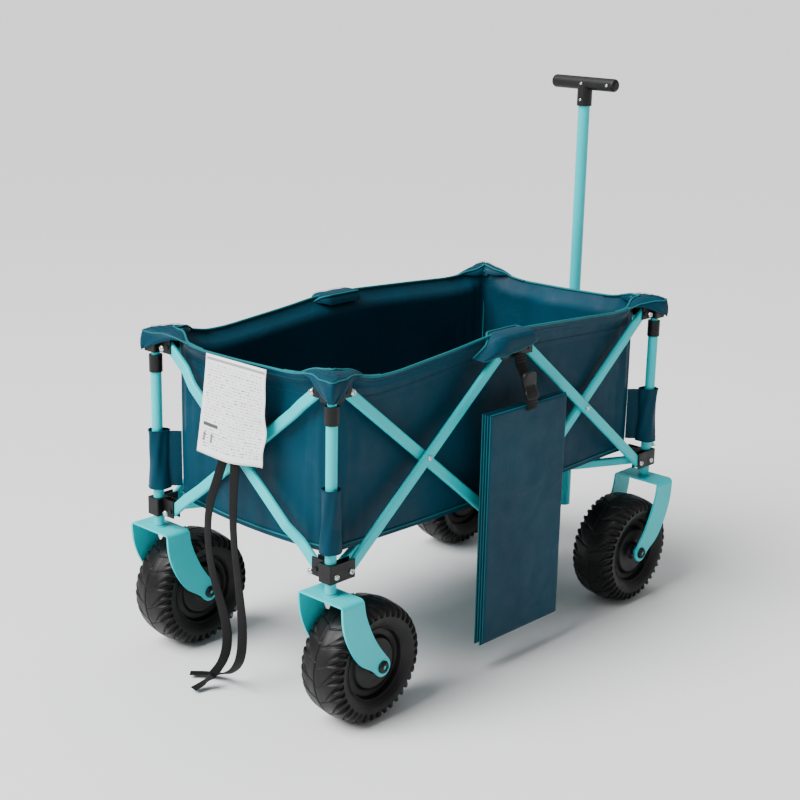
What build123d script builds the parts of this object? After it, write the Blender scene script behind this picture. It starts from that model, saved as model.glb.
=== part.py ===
from build123d import *
import math
import os

# Folding wagon with a pull handle. +X points to the pull-handle end, +Y to the wagon's left,
# +Z up. The origin is on the floor under the middle of the four posts. Millimetres.

os.makedirs("parts", exist_ok=True)

# ---------------------------------------------------------------- driving dimensions

post_span_x = 860  # between post axes, along the wagon
post_span_y = 430  # between post axes, across the wagon
pivot_offset = 33  # from a post's axis to the scissor pivots beside it
low_pivot_z = 270
top_pivot_z = 565

tube_width = 20  # flat-oval scissor tubes
tube_thick = 10
tube_wall = 1.2
tube_corner = 4.4  # corner radius of the flat-oval section
side_layer = 6  # side tubes stand this far outboard or inboard of the post plane
end_layer = -6  # end tubes are pinned this far inboard of the post plane
end_bow_out = 8  # the outer end tube bows outboard by this between its joggles
end_bow_in = -6  # and the inner one inboard
joggle_start = 52  # from the pivot, along the tube, where a joggle begins
joggle_run = 34  # length of a joggle
joggle_radius = 40

pin_r = 3.0
pin_clearance = 0.08
rivet_head_r = 4.6
rivet_head_h = 1.6
washer_gap = 0.3

cheek_thick = 2.4
cheek_gap = tube_thick + 1.0  # inside a bracket's channel
cheek_reach = 41  # from the post's axis to the end of a cheek
bracket_half = 14
bracket_corner_r = 2.5
bracket_height = 31
low_bracket_z = 259
top_bracket_z = 554

post_r = 9.5
post_bore_r = 8.3
post_bottom_z = 239
post_top_z = 531
collar_r = 11.75
collar_bottom_z = 517
collar_height = 30
hook_reach = 30  # hook on the front right post, from the post's axis
hook_thick = 8
hook_top_z = 308
hook_notch_r = 8
hook_weld = 0.6  # how deep the hook sits in the post's wall
rod_r = 7.5
rod_wall = 1.2
rod_bottom_z = 300
rod_socket = 22  # how far a rod reaches into its top bracket
sliding_gap = 0.3  # between a rod and the lip of its collar
seat_gap = 0.1  # between fixed pieces that fit into each other

wheel_r = 105
tyre_half = 45
rim_r = 64
tyre_bead_half = 36  # half its width at the rim
tyre_tread_half = 37  # and at the tread's edge
tyre_shoulder = 9  # drop from the tread's middle to its edge
tyre_bulge = 24  # drop from the tread's middle to the widest place
tyre_wall = 5  # the tyre is blow-moulded and hollow
hub_half = 38
hub_wall = 4
hub_hollow = (18, 57)  # radii of the hollow inside the hub drum
hub_boss_r = 14
hub_disc = (42, 6)  # the raised disc's radius and how far it stands back from the boss
hub_recess = (58, 13)  # the ring recess round it
hub_lip = 3  # how far the hub's rim stands back from the boss
axle_r = 6
axle_head_r = 9
axle_head_h = 4
trail = 70  # from the post's axis to the wheel's axle
fork_inner = 47.5  # half the gap between a fork's legs
fork_thick = 4
fork_top_z = 236
fork_lead = 23  # fork plate, away from the trail
fork_lag = 25.5  # fork plate, on the trail side
fork_bend_r = 9
fork_end_r = 17
fork_end_angle = 40  # tilt of a leg where its round end begins
fork_boss_r = 13  # washer between a fork and its post
fork_boss_h = 1.6
stem_top_z = 262

arm_width = 12
arm_height = 15
arm_wall = 1.2
arm_root = 26  # from the post's axis to the floor arm's pivot
arm_tip = 75  # from the wagon's middle to the floor arm's tip pivot
ear_thick = 3
ear_gap = 0.4
hub_plate = (168, 88, 5)
hub_plate_gap = 1.5

wall_inset = 26  # from the post plane to the basket wall
wall_thick = 3.5
cloth_gap = 0.6
basket_floor_z = 287
basket_top_z = 581
cap_thick = 3
cap_gap = 1.0
sleeve_r = 14
sleeve_thick = 1.4
sleeve_bottom_z = 311
sleeve_top_z = 410

mat_x = (-105, 108)
mat_z = (56, 475)
mat_inner_y = 241  # distance of the folded mat's inner face from the middle plane
mat_layer = 5.2
mat_layer_gap = 0.5
mat_layers = 4
mat_shift = 6  # how far the folds are out of line

strap_width = 28
strap_thick = 2.5

pole_x = 461.5
pole_bottom_z = 113
pole_r = 12.7
pole_wall = 1.1
pole_top_z = 470
inner_pole_gap = 0.3
inner_pole_bottom_z = 400
inner_pole_wall = 1.2
grip_z = 976
grip_length = 150
grip_r = 12.5
grip_stem_r = 14.5
grip_stem_bottom_z = 933
grip_socket_depth = 30
hinge_z = 242
drawbar_half = 17  # half the width of the pole's bracket, outside
drawbar_cheek = 3

tag_size = (146, 166)
tag_thick = 0.8
tag_top = (-438, 578)  # x and z of its sewn edge
tag_slant = 23  # its lower edge hangs this much further out
tag_centre_y = -2

tie_d = 14  # stand-in tube of each flat tie strap

# ---------------------------------------------------------------- derived values

half_x = post_span_x / 2
half_y = post_span_y / 2
rise = top_pivot_z - low_pivot_z
side_bay = half_x - 2 * pivot_offset  # between the pivots of one side scissor
end_bay = post_span_y - 2 * pivot_offset
crossing_z = (low_pivot_z + top_pivot_z) / 2
side_crossing_x = half_x / 2
outer_face = tube_thick / 2

corners = {
    "rear_right": (-1, -1),
    "rear_left": (-1, 1),
    "front_right": (1, -1),
    "front_left": (1, 1),
}
sides = {"right": -1, "left": 1}
ends = {"rear": -1, "front": 1}


def save(builder, name):
    """Label a finished piece and write it."""
    builder.part.label = name
    export_step(builder.part, f"parts/{name}.step")
    print(name, len(builder.part.solids()), round(builder.part.volume))


# ---------------------------------------------------------------- scissor tubes


def scissor_tube(name, centre, along, outward, length, bow, rivet_reach):
    """A flat-oval tube with round, pierced ends. rivet_reach is how far inboard its crossing
    rivet runs, or 0 for a tube with a plain hole there."""
    along = Vector(*along)
    outward = Vector(*outward)
    across = along.cross(outward)
    centre = Vector(*centre)
    profile_plane = Plane(origin=centre, x_dir=along, z_dir=across)
    face_plane = Plane(origin=centre, x_dir=along, z_dir=outward)
    half = length / 2
    end = half + tube_width / 2
    reach = tube_thick + abs(bow)
    with BuildPart() as tube:
        with BuildLine(profile_plane) as path:
            if bow:
                joggle = [(half - joggle_start, 0), (half - joggle_start - joggle_run, bow)]
                FilletPolyline(
                    (-end, 0),
                    (-joggle[0][0], 0),
                    (-joggle[1][0], bow),
                    (joggle[1][0], bow),
                    (joggle[0][0], 0),
                    (end, 0),
                    radius=joggle_radius,
                )
            else:
                Line((-end, 0), (end, 0))
        with BuildSketch(Plane(origin=path.line @ 0, x_dir=across, z_dir=path.line % 0)):
            RectangleRounded(tube_width, tube_thick, tube_corner)
            RectangleRounded(
                tube_width - 2 * tube_wall,
                tube_thick - 2 * tube_wall,
                tube_corner - tube_wall,
                mode=Mode.SUBTRACT,
            )
        sweep(path=path.line)
        with BuildSketch(face_plane):
            SlotCenterToCenter(length, tube_width)
        extrude(amount=reach, both=True, mode=Mode.INTERSECT)
        holes = [(-half, 0), (half, 0)]
        if not rivet_reach:
            holes.append((0, 0))
        with BuildSketch(face_plane):
            with Locations(*holes):
                Circle(pin_r + pin_clearance)
        extrude(amount=reach, both=True, mode=Mode.SUBTRACT)
        if rivet_reach > 0:
            top = bow + outer_face + rivet_head_h
            with BuildSketch(Plane(origin=centre + outward * top, z_dir=-outward)):
                Circle(rivet_head_r)
            extrude(amount=rivet_head_h + tube_wall / 2)
            with BuildSketch(Plane(origin=centre + outward * top, z_dir=-outward)):
                Circle(pin_r)
            extrude(amount=top + rivet_reach)
            with BuildSketch(Plane(origin=centre - outward * rivet_reach, z_dir=outward)):
                Circle(rivet_head_r)
            extrude(amount=rivet_head_h)
    save(tube, name)


side_length = math.hypot(side_bay, rise)
side_cos = side_bay / side_length
side_sin = rise / side_length
side_rivet_reach = 2 * side_layer + outer_face + washer_gap + rivet_head_h

for side, sy in sides.items():
    for end, sx in ends.items():
        # The outer tube of each pair rises from the corner to the middle, the inner one falls.
        centre_x = sx * side_crossing_x
        scissor_tube(
            f"side_tube_outer_{end}_{side}",
            (centre_x, sy * (half_y + side_layer), crossing_z),
            (side_cos, 0, -sx * side_sin),
            (0, sy, 0),
            side_length,
            0,
            side_rivet_reach,
        )
        scissor_tube(
            f"side_tube_inner_{end}_{side}",
            (centre_x, sy * (half_y - side_layer), crossing_z),
            (side_cos, 0, sx * side_sin),
            (0, sy, 0),
            side_length,
            0,
            0,
        )

end_length = math.hypot(end_bay, rise)
end_cos = end_bay / end_length
end_sin = rise / end_length
end_rivet_reach = outer_face - end_bow_in + washer_gap + rivet_head_h

for end, sx in ends.items():
    # The rear pair has its own crossing rivet. The front pair turns on the drawbar bracket's pin.
    reach = end_rivet_reach if end == "rear" else 0
    plane_x = sx * (half_x + end_layer)
    scissor_tube(
        f"end_tube_outer_{end}",
        (plane_x, 0, crossing_z),
        (0, end_cos, end_sin),
        (sx, 0, 0),
        end_length,
        end_bow_out,
        reach,
    )
    scissor_tube(
        f"end_tube_inner_{end}",
        (plane_x, 0, crossing_z),
        (0, end_cos, -end_sin),
        (sx, 0, 0),
        end_length,
        end_bow_in,
        0,
    )

# ---------------------------------------------------------------- brackets


def cheek_offsets(layer):
    """Middle of the two cheeks of a channel whose tube lies at this layer."""
    spacing = (cheek_gap + cheek_thick) / 2
    return (layer - spacing, layer + spacing)


def pivot_pin(x, y, z, normal, layer):
    """A headed pin through a channel, along the given horizontal normal."""
    half = cheek_gap / 2 + cheek_thick + rivet_head_h
    middle = Vector(x, y, z) + Vector(*normal) * layer
    for start, radius, depth in (
        (-half, pin_r, 2 * half),
        (-half, rivet_head_r, rivet_head_h),
        (half - rivet_head_h, rivet_head_r, rivet_head_h),
    ):
        with BuildSketch(Plane(origin=middle + Vector(*normal) * start, z_dir=normal)) as disc:
            Circle(radius)
        extrude(disc.sketch, amount=depth)


def corner_block(x, y, sx, sy, base_z, side_plane):
    """Block and two channels of a corner bracket."""
    reach = cheek_reach - bracket_half + bracket_corner_r
    centre = cheek_reach - reach / 2
    with BuildSketch(Plane.XY.offset(base_z)) as plan:
        with Locations((x, y)):
            RectangleRounded(2 * bracket_half, 2 * bracket_half, bracket_corner_r)
        for step in cheek_offsets(side_plane):
            with Locations((x - sx * centre, y + sy * step)):
                Rectangle(reach, cheek_thick)
        for step in cheek_offsets(end_layer):
            with Locations((x + sx * step, y - sy * centre)):
                Rectangle(cheek_thick, reach)
    extrude(plan.sketch, amount=bracket_height)


for corner, (sx, sy) in corners.items():
    x = sx * half_x
    y = sy * half_y
    diagonal = Vector(-x, -y, 0).normalized()
    sideways = Vector(0, 0, 1).cross(diagonal)
    with BuildPart() as bracket:
        corner_block(x, y, sx, sy, low_bracket_z, side_layer)
        # Ears for the floor arm, on the inner corner.
        for hand in (-1, 1):
            ear_y = hand * (arm_width / 2 + ear_gap + ear_thick / 2)
            ear_plane = Plane(
                origin=Vector(x, y, low_pivot_z) + sideways * (ear_y - ear_thick / 2),
                x_dir=diagonal,
                z_dir=sideways,
            )
            with BuildSketch(ear_plane):
                SlotCenterPoint(
                    ((arm_root + bracket_half) / 2, 0),
                    (arm_root, 0),
                    arm_height + 2,
                )
            extrude(amount=ear_thick)
        pin_half = arm_width / 2 + ear_gap + ear_thick
        pin_plane = Plane(
            origin=Vector(x, y, low_pivot_z) + diagonal * arm_root - sideways * pin_half,
            z_dir=sideways,
        )
        with BuildSketch(pin_plane):
            Circle(pin_r)
        extrude(amount=2 * pin_half)
        with BuildSketch(Plane.XY.offset(low_bracket_z - 1)):
            with Locations((x, y)):
                Circle(post_r + seat_gap)
        extrude(amount=bracket_height + 2, mode=Mode.SUBTRACT)
        pivot_pin(x - sx * pivot_offset, y, low_pivot_z, (0, sy, 0), side_layer)
        pivot_pin(x, y - sy * pivot_offset, low_pivot_z, (sx, 0, 0), end_layer)
        # The collar on the post's top, a separate moulding of the same plastic.
        with BuildSketch(Plane.XY.offset(collar_bottom_z)):
            with Locations((x, y)):
                Circle(collar_r)
                Circle(post_r + seat_gap, mode=Mode.SUBTRACT)
        extrude(amount=post_top_z + seat_gap - collar_bottom_z)
        with BuildSketch(Plane.XY.offset(post_top_z + seat_gap)):
            with Locations((x, y)):
                Circle(collar_r)
                Circle(rod_r + sliding_gap, mode=Mode.SUBTRACT)
        extrude(amount=collar_bottom_z + collar_height - post_top_z - seat_gap)
    save(bracket, f"lower_bracket_{corner}")

    with BuildPart() as bracket:
        corner_block(x, y, sx, sy, top_bracket_z, -side_layer)
        with BuildSketch(Plane.XY.offset(top_bracket_z - 1)):
            with Locations((x, y)):
                Circle(rod_r + seat_gap)
        extrude(amount=rod_socket + seat_gap + 1, mode=Mode.SUBTRACT)
        pivot_pin(x - sx * pivot_offset, y, top_pivot_z, (0, sy, 0), -side_layer)
        pivot_pin(x, y - sy * pivot_offset, top_pivot_z, (sx, 0, 0), end_layer)
    save(bracket, f"top_bracket_{corner}")

for side, sy in sides.items():
    for level, base_z, pivot_z, layer in (
        ("top", top_bracket_z, top_pivot_z, side_layer),
        ("bottom", low_bracket_z, low_pivot_z, -side_layer),
    ):
        y = sy * half_y
        middle = (0, y + sy * layer, base_z + bracket_height / 2)
        with BuildPart() as bracket:
            with Locations(middle):
                Box(2 * (pivot_offset - bracket_half), cheek_gap + 2 * cheek_thick, bracket_height)
            for step in cheek_offsets(layer):
                with Locations((0, y + sy * step, middle[2])):
                    Box(2 * cheek_reach, cheek_thick, bracket_height)
            for pin_x in (-pivot_offset, pivot_offset):
                pivot_pin(pin_x, y, pivot_z, (0, sy, 0), layer)
        save(bracket, f"middle_{level}_bracket_{side}")

# ---------------------------------------------------------------- posts and rods

for corner, (sx, sy) in corners.items():
    x = sx * half_x
    y = sy * half_y
    with BuildPart() as post:
        with BuildSketch(Plane.XY.offset(post_bottom_z)):
            with Locations((x, y)):
                Circle(post_r)
                Circle(post_bore_r, mode=Mode.SUBTRACT)
        extrude(amount=post_top_z - post_bottom_z)
        if corner == "front_right":
            hook_bottom = low_bracket_z + bracket_height + 1
            hook_middle_z = (hook_bottom + hook_top_z) / 2
            hook_root = post_bore_r + hook_weld
            with BuildSketch(Plane.XZ.offset(-y - hook_thick / 2)):
                with Locations((x + (hook_root + hook_reach) / 2, hook_middle_z)):
                    Rectangle(hook_reach - hook_root, hook_top_z - hook_bottom)
                with Locations((x + hook_reach, hook_middle_z)):
                    Circle(hook_notch_r, mode=Mode.SUBTRACT)
            extrude(amount=hook_thick)
    save(post, f"lower_post_{corner}")

    with BuildPart() as rod:
        with BuildSketch(Plane.XY.offset(rod_bottom_z)):
            with Locations((x, y)):
                Circle(rod_r)
                Circle(rod_r - rod_wall, mode=Mode.SUBTRACT)
        extrude(amount=top_bracket_z + rod_socket - rod_bottom_z)
    save(rod, f"upper_rod_{corner}")

# ---------------------------------------------------------------- wheels and forks

for corner, (sx, sy) in corners.items():
    x = sx * half_x
    y = sy * half_y
    toward = -sx  # the wheel trails toward the wagon's middle
    axle_x = x + toward * trail
    leg_outer = fork_inner + fork_thick

    with BuildPart() as fork:
        # An inverted U strip, cut to the swept outline of its legs.
        with BuildSketch(Plane.YZ.offset(x)):
            with Locations((y, fork_top_z)):
                Rectangle(2 * leg_outer, fork_top_z, align=(Align.CENTER, Align.MAX))
                Rectangle(2 * fork_inner, fork_top_z, align=(Align.CENTER, Align.MAX), mode=Mode.SUBTRACT)
            with Locations((y, fork_top_z)):
                Rectangle(2 * fork_inner, fork_thick, align=(Align.CENTER, Align.MAX))
        extrude(amount=2 * wheel_r, both=True)
        bends = fork.edges().filter_by(Axis.X).group_by(Axis.Z)[-1]
        fillet(bends, fork_bend_r)
        with BuildSketch(Plane.XZ.offset(-y)):
            with BuildLine():
                lead_top = (x - toward * fork_lead, fork_top_z + 1)
                lag_top = (x + toward * fork_lag, fork_top_z + 1)
                end_cos = fork_end_r * math.cos(math.radians(fork_end_angle))
                end_sin = fork_end_r * math.sin(math.radians(fork_end_angle))
                lead_low = (axle_x - toward * end_cos, wheel_r - end_sin)
                lag_low = (axle_x + toward * end_cos, wheel_r + end_sin)
                end_low = (axle_x + toward * end_sin, wheel_r - end_cos)
                Line(lag_top, lead_top)
                Spline(
                    lead_top,
                    (x - toward * 20, 198),
                    (x - toward * 4, 156),
                    (x + toward * 24, 119),
                    lead_low,
                    tangents=((toward * 0.02, -1), (toward * 0.64, -0.77)),
                )
                ThreePointArc(lead_low, end_low, lag_low)
                Spline(
                    lag_low,
                    (x + toward * 58, 148),
                    (x + toward * 36, 190),
                    lag_top,
                    tangents=((-toward * 0.64, 0.77), (-toward * 0.02, 1)),
                )
            make_face()
        extrude(amount=2 * leg_outer, both=True, mode=Mode.INTERSECT)
        with BuildSketch(Plane.XZ.offset(-y)):
            with Locations((axle_x, wheel_r)):
                Circle(axle_r + pin_clearance)
        extrude(amount=2 * leg_outer, both=True, mode=Mode.SUBTRACT)
        # The stem that turns, or is fixed, inside the post.
        with BuildSketch(Plane.XY.offset(fork_top_z - fork_thick / 2)):
            with Locations((x, y)):
                Circle(post_bore_r - pin_clearance)
        extrude(amount=stem_top_z - fork_top_z + fork_thick / 2)
        with BuildSketch(Plane.XY.offset(fork_top_z - fork_thick / 2)):
            with Locations((x, y)):
                Circle(fork_boss_r)
        extrude(amount=fork_thick / 2 + fork_boss_h)
        # The axle bolt, a piece of its own.
        with BuildSketch(Plane.XZ.offset(-y - leg_outer - seat_gap - axle_head_h)):
            with Locations((axle_x, wheel_r)):
                Circle(axle_r)
        extrude(amount=2 * (leg_outer + seat_gap + axle_head_h))
        for head in (-1, 1):
            start = -y + head * (leg_outer + seat_gap + axle_head_h / 2)
            with BuildSketch(Plane.XZ.offset(start - axle_head_h / 2)):
                with Locations((axle_x, wheel_r)):
                    RegularPolygon(axle_head_r, 6)
            extrude(amount=axle_head_h)
    save(fork, f"fork_{corner}")

    with BuildPart() as wheel:
        with BuildSketch(Plane.YZ.offset(axle_x)):
            with BuildLine():
                right_low = (y - tyre_bead_half, wheel_r + rim_r)
                right_high = (y - tyre_tread_half, 2 * wheel_r - tyre_shoulder)
                left_low = (y + tyre_bead_half, wheel_r + rim_r)
                left_high = (y + tyre_tread_half, 2 * wheel_r - tyre_shoulder)
                ThreePointArc(right_low, (y - tyre_half, 2 * wheel_r - tyre_bulge), right_high)
                ThreePointArc(right_high, (y, 2 * wheel_r), left_high)
                ThreePointArc(left_high, (y + tyre_half, 2 * wheel_r - tyre_bulge), left_low)
                Line(left_low, right_low)
            make_face()
            offset(amount=-tyre_wall, mode=Mode.SUBTRACT)
        revolve(axis=Axis((axle_x, y, wheel_r), (0, 1, 0)))
        # The hub drum, with a recess round a raised disc on each face.
        with BuildSketch(Plane.YZ.offset(axle_x)):
            with BuildLine():
                bore = axle_r + pin_clearance
                half_profile = [
                    (hub_half, bore),
                    (hub_half, hub_boss_r),
                    (hub_half - hub_disc[1], hub_boss_r + 2),
                    (hub_half - hub_disc[1], hub_disc[0]),
                    (hub_half - hub_recess[1], hub_disc[0] + 5),
                    (hub_half - hub_recess[1], hub_recess[0]),
                    (hub_half - hub_lip, rim_r - seat_gap),
                ]
                outline = [(y - w, wheel_r + r) for w, r in half_profile]
                outline += [(y + w, wheel_r + r) for w, r in reversed(half_profile)]
                Polyline(*outline, close=True)
            make_face()
            with Locations((y, wheel_r + (hub_hollow[0] + hub_hollow[1]) / 2)):
                hollow_width = 2 * (hub_half - hub_recess[1] - hub_wall)
                Rectangle(hollow_width, hub_hollow[1] - hub_hollow[0], mode=Mode.SUBTRACT)
        revolve(axis=Axis((axle_x, y, wheel_r), (0, 1, 0)))
    save(wheel, f"wheel_{corner}")

# ---------------------------------------------------------------- floor arms and hub

arm_length = math.hypot(half_x, half_y) - arm_root - arm_tip

for corner, (sx, sy) in corners.items():
    post_axis = Vector(sx * half_x, sy * half_y, low_pivot_z)
    diagonal = Vector(-post_axis.X, -post_axis.Y, 0).normalized()
    sideways = Vector(0, 0, 1).cross(diagonal)
    root = post_axis + diagonal * arm_root
    side_plane = Plane(origin=root, x_dir=diagonal, z_dir=sideways)
    start_plane = Plane(origin=root - diagonal * arm_height / 2, x_dir=sideways, z_dir=diagonal)
    with BuildPart() as arm:
        with BuildSketch(start_plane):
            RectangleRounded(arm_width, arm_height, 3)
            RectangleRounded(
                arm_width - 2 * arm_wall,
                arm_height - 2 * arm_wall,
                3 - arm_wall,
                mode=Mode.SUBTRACT,
            )
        extrude(amount=arm_length + arm_height)
        with BuildSketch(side_plane):
            SlotCenterPoint((arm_length / 2, 0), (arm_length, 0), arm_height)
        extrude(amount=arm_width, both=True, mode=Mode.INTERSECT)
        with BuildSketch(side_plane):
            with Locations((0, 0), (arm_length, 0)):
                Circle(pin_r + pin_clearance)
        extrude(amount=arm_width, both=True, mode=Mode.SUBTRACT)
    save(arm, f"floor_arm_{corner}")

with BuildPart() as floor_hub:
    hub_base = low_pivot_z + arm_height / 2 + hub_plate_gap
    with BuildSketch(Plane.XY.offset(hub_base)):
        RectangleRounded(hub_plate[0], hub_plate[1], 14)
        Circle(12, mode=Mode.SUBTRACT)
    extrude(amount=hub_plate[2])
    fillet(floor_hub.edges().group_by(Axis.Z)[-1], 1.5)
save(floor_hub, "floor_hub")

# ---------------------------------------------------------------- pull handle

with BuildPart() as drawbar:
    bar_back = half_x + end_layer + end_bow_out + outer_face + 3
    back_thick = 3
    # Back plate on the front crossing, with a channel for the pole below it.
    with BuildSketch(Plane.YZ.offset(bar_back)):
        with Locations((0, (crossing_z + 22 + hinge_z + 34) / 2)):
            RectangleRounded(2 * drawbar_half, crossing_z + 22 - hinge_z - 34, 6)
    extrude(amount=back_thick)
    for hand in (-1, 1):
        cheek_y = hand * (drawbar_half - drawbar_cheek / 2)
        with BuildSketch(Plane.XZ.offset(-cheek_y - drawbar_cheek / 2)):
            with BuildLine():
                Polyline(
                    (bar_back, hinge_z + 36),
                    (bar_back, hinge_z + 90),
                    (pole_x + 9, hinge_z + 64),
                    (pole_x + 15, hinge_z),
                    (pole_x + 6, hinge_z - 13),
                    (pole_x - 8, hinge_z - 13),
                    (pole_x - 12, hinge_z),
                    close=True,
                )
            make_face()
        extrude(amount=drawbar_cheek)
    # Two short pins, one in each wall of the pole, leave its bore free for the inner tube.
    pin_length = drawbar_half - pole_r + pole_wall - sliding_gap
    for start in (-drawbar_half, drawbar_half - pin_length):
        with BuildSketch(Plane.XZ.offset(start)):
            with Locations((pole_x, hinge_z)):
                Circle(pin_r)
        extrude(amount=pin_length)
    # The pin through both end tubes at their crossing.
    pin_start = half_x + end_layer + end_bow_in - outer_face - washer_gap - rivet_head_h
    with BuildSketch(Plane.YZ.offset(pin_start)):
        with Locations((0, crossing_z)):
            Circle(pin_r)
    extrude(amount=bar_back + back_thick / 2 - pin_start)
    with BuildSketch(Plane.YZ.offset(pin_start)):
        with Locations((0, crossing_z)):
            Circle(rivet_head_r)
    extrude(amount=rivet_head_h)
save(drawbar, "drawbar_bracket")

with BuildPart() as outer_pole:
    with BuildSketch(Plane.XY.offset(pole_bottom_z)):
        with Locations((pole_x, 0)):
            Circle(pole_r)
            Circle(pole_r - pole_wall, mode=Mode.SUBTRACT)
    extrude(amount=pole_top_z - pole_bottom_z)
    with BuildSketch(Plane.XZ.offset(-pole_r - 1)):
        with Locations((pole_x, hinge_z)):
            Circle(pin_r + pin_clearance)
    extrude(amount=2 * pole_r + 2, mode=Mode.SUBTRACT)
save(outer_pole, "handle_outer_tube")

inner_pole_r = pole_r - pole_wall - inner_pole_gap
with BuildPart() as inner_pole:
    with BuildSketch(Plane.XY.offset(inner_pole_bottom_z)):
        with Locations((pole_x, 0)):
            Circle(inner_pole_r)
            Circle(inner_pole_r - inner_pole_wall, mode=Mode.SUBTRACT)
    extrude(amount=grip_stem_bottom_z + grip_socket_depth - inner_pole_bottom_z)
save(inner_pole, "handle_inner_tube")

with BuildPart() as grip:
    with BuildSketch(Plane.XZ.offset(-grip_length / 2)):
        with Locations((pole_x, grip_z)):
            Circle(grip_r)
    extrude(amount=grip_length)
    fillet(grip.edges(), 7)
    with BuildSketch(Plane.XY.offset(grip_stem_bottom_z)):
        with Locations((pole_x, 0)):
            Circle(grip_stem_r)
    extrude(amount=grip_z - grip_stem_bottom_z)
    with BuildSketch(Plane.XY.offset(grip_stem_bottom_z)):
        with Locations((pole_x, 0)):
            Circle(inner_pole_r + seat_gap)
    extrude(amount=grip_socket_depth + seat_gap, mode=Mode.SUBTRACT)
save(grip, "handle_grip")

# ---------------------------------------------------------------- fabric basket

wall_x = half_x - wall_inset
wall_y = half_y - wall_inset
cap_z = top_bracket_z + bracket_height + cap_gap

for side, sy in sides.items():
    with BuildPart() as wall:
        with Locations((0, sy * (wall_y - wall_thick / 2), (basket_floor_z + basket_top_z) / 2)):
            Box(2 * (wall_x - cloth_gap), wall_thick, basket_top_z - basket_floor_z)
        # The cap over the middle top bracket.
        cap_outer = half_y + side_layer + cheek_gap / 2 + cheek_thick + 3
        with Locations((0, sy * (wall_y - wall_thick + cap_outer) / 2, cap_z + cap_thick / 2)):
            Box(2 * cheek_reach + 20, cap_outer - wall_y + wall_thick, cap_thick)
        with Locations((0, sy * (wall_y - wall_thick / 2), (basket_top_z + cap_z) / 2)):
            Box(2 * cheek_reach + 20, wall_thick, cap_z - basket_top_z)
    save(wall, f"basket_side_{side}")

    with BuildPart() as panel:
        width = wall_y - wall_thick - 2 * cloth_gap
        with Locations((0, sy * (width / 2 + cloth_gap), basket_floor_z + wall_thick / 2)):
            Box(2 * (wall_x - wall_thick - cloth_gap), width, wall_thick)
    save(panel, f"basket_floor_{side}")

for end, sx in ends.items():
    with BuildPart() as wall:
        half_width = wall_y - wall_thick - cloth_gap
        with Locations((sx * (wall_x + wall_thick / 2), 0, (basket_floor_z + basket_top_z) / 2)):
            Box(wall_thick, 2 * half_width, basket_top_z - basket_floor_z)
        for sy in sides.values():
            x = sx * half_x
            y = sy * half_y
            sleeve_height = sleeve_top_z - sleeve_bottom_z
            web_end = Vector(sx * (wall_x + wall_thick / 2), sy * (half_width - 2), 0)
            web = web_end - Vector(x, y, 0)
            web_plane = Plane(
                origin=(x, y, (sleeve_bottom_z + sleeve_top_z) / 2),
                x_dir=web,
                z_dir=(0, 0, 1),
            )
            with BuildSketch(web_plane):
                Rectangle(web.length, sleeve_thick, align=(Align.MIN, Align.CENTER))
            extrude(amount=sleeve_height / 2, both=True)
            with BuildSketch(Plane.XY.offset(sleeve_bottom_z)):
                with Locations((x, y)):
                    Circle(sleeve_r)
            extrude(amount=sleeve_height)
            with BuildSketch(Plane.XY.offset(sleeve_bottom_z - 1)):
                with Locations((x, y)):
                    Circle(sleeve_r - sleeve_thick)
            extrude(amount=sleeve_height + 2, mode=Mode.SUBTRACT)
            # The cap over the corner's top bracket.
            cap_out = bracket_half + 3
            cap_in = wall_inset + wall_thick + 2
            with Locations((x + sx * (cap_out - cap_in) / 2, y + sy * (cap_out - cap_in) / 2, cap_z + cap_thick / 2)):
                Box(cap_out + cap_in, cap_out + cap_in, cap_thick)
            with Locations((sx * (wall_x + wall_thick / 2), sy * (half_width - 8), (basket_top_z + cap_z) / 2)):
                Box(wall_thick, 16, cap_z - basket_top_z + 1)
    save(wall, f"basket_end_{end}")

# ---------------------------------------------------------------- floor mat, strap, tag

with BuildPart() as mat:
    for layer in range(mat_layers):
        shift = mat_shift * (layer % 2)
        layer_y = -(mat_inner_y + layer * (mat_layer + mat_layer_gap))
        with BuildSketch(Plane.XZ.offset(-layer_y)):
            with Locations(((mat_x[0] + mat_x[1] - shift) / 2, (mat_z[0] + mat_z[1] + shift) / 2)):
                RectangleRounded(mat_x[1] - mat_x[0] - shift, mat_z[1] - mat_z[0] - shift, 5)
        extrude(amount=mat_layer)
save(mat, "floor_mat")

mat_depth = mat_layers * mat_layer + (mat_layers - 1) * mat_layer_gap
mat_middle_y = -(mat_inner_y + mat_depth / 2)
strap_top_y = -(half_y + side_layer + cheek_gap / 2 + cheek_thick + rivet_head_h + 1)
with BuildPart() as strap:
    strap_low_z = mat_z[1] + 3
    strap_top_z = top_pivot_z - 7
    with BuildSketch(Plane.YZ.offset(-strap_width / 2)):
        with BuildLine():
            Polyline(
                (strap_top_y, strap_top_z),
                (strap_top_y - strap_thick, strap_top_z),
                (mat_middle_y - strap_thick / 2, strap_low_z + 28),
                (mat_middle_y - strap_thick / 2, strap_low_z),
                (mat_middle_y + strap_thick / 2, strap_low_z),
                (mat_middle_y + strap_thick / 2, strap_low_z + 28),
                close=True,
            )
        make_face()
    extrude(amount=strap_width)
    with Locations((0, mat_middle_y, strap_low_z + 22)):
        Box(strap_width + 8, 9, 30)
save(strap, "mat_strap")

with BuildPart() as tag:
    low = (tag_top[0] - tag_slant, tag_top[1] - tag_size[1])
    with BuildSketch(Plane.XZ.offset(-tag_centre_y - tag_size[0] / 2)):
        with BuildLine():
            Polyline(
                tag_top,
                (tag_top[0] - tag_thick, tag_top[1]),
                (low[0] - tag_thick, low[1]),
                low,
                close=True,
            )
        make_face()
    extrude(amount=tag_size[0])
save(tag, "paper_tag")

# ---------------------------------------------------------------- tie straps

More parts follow.
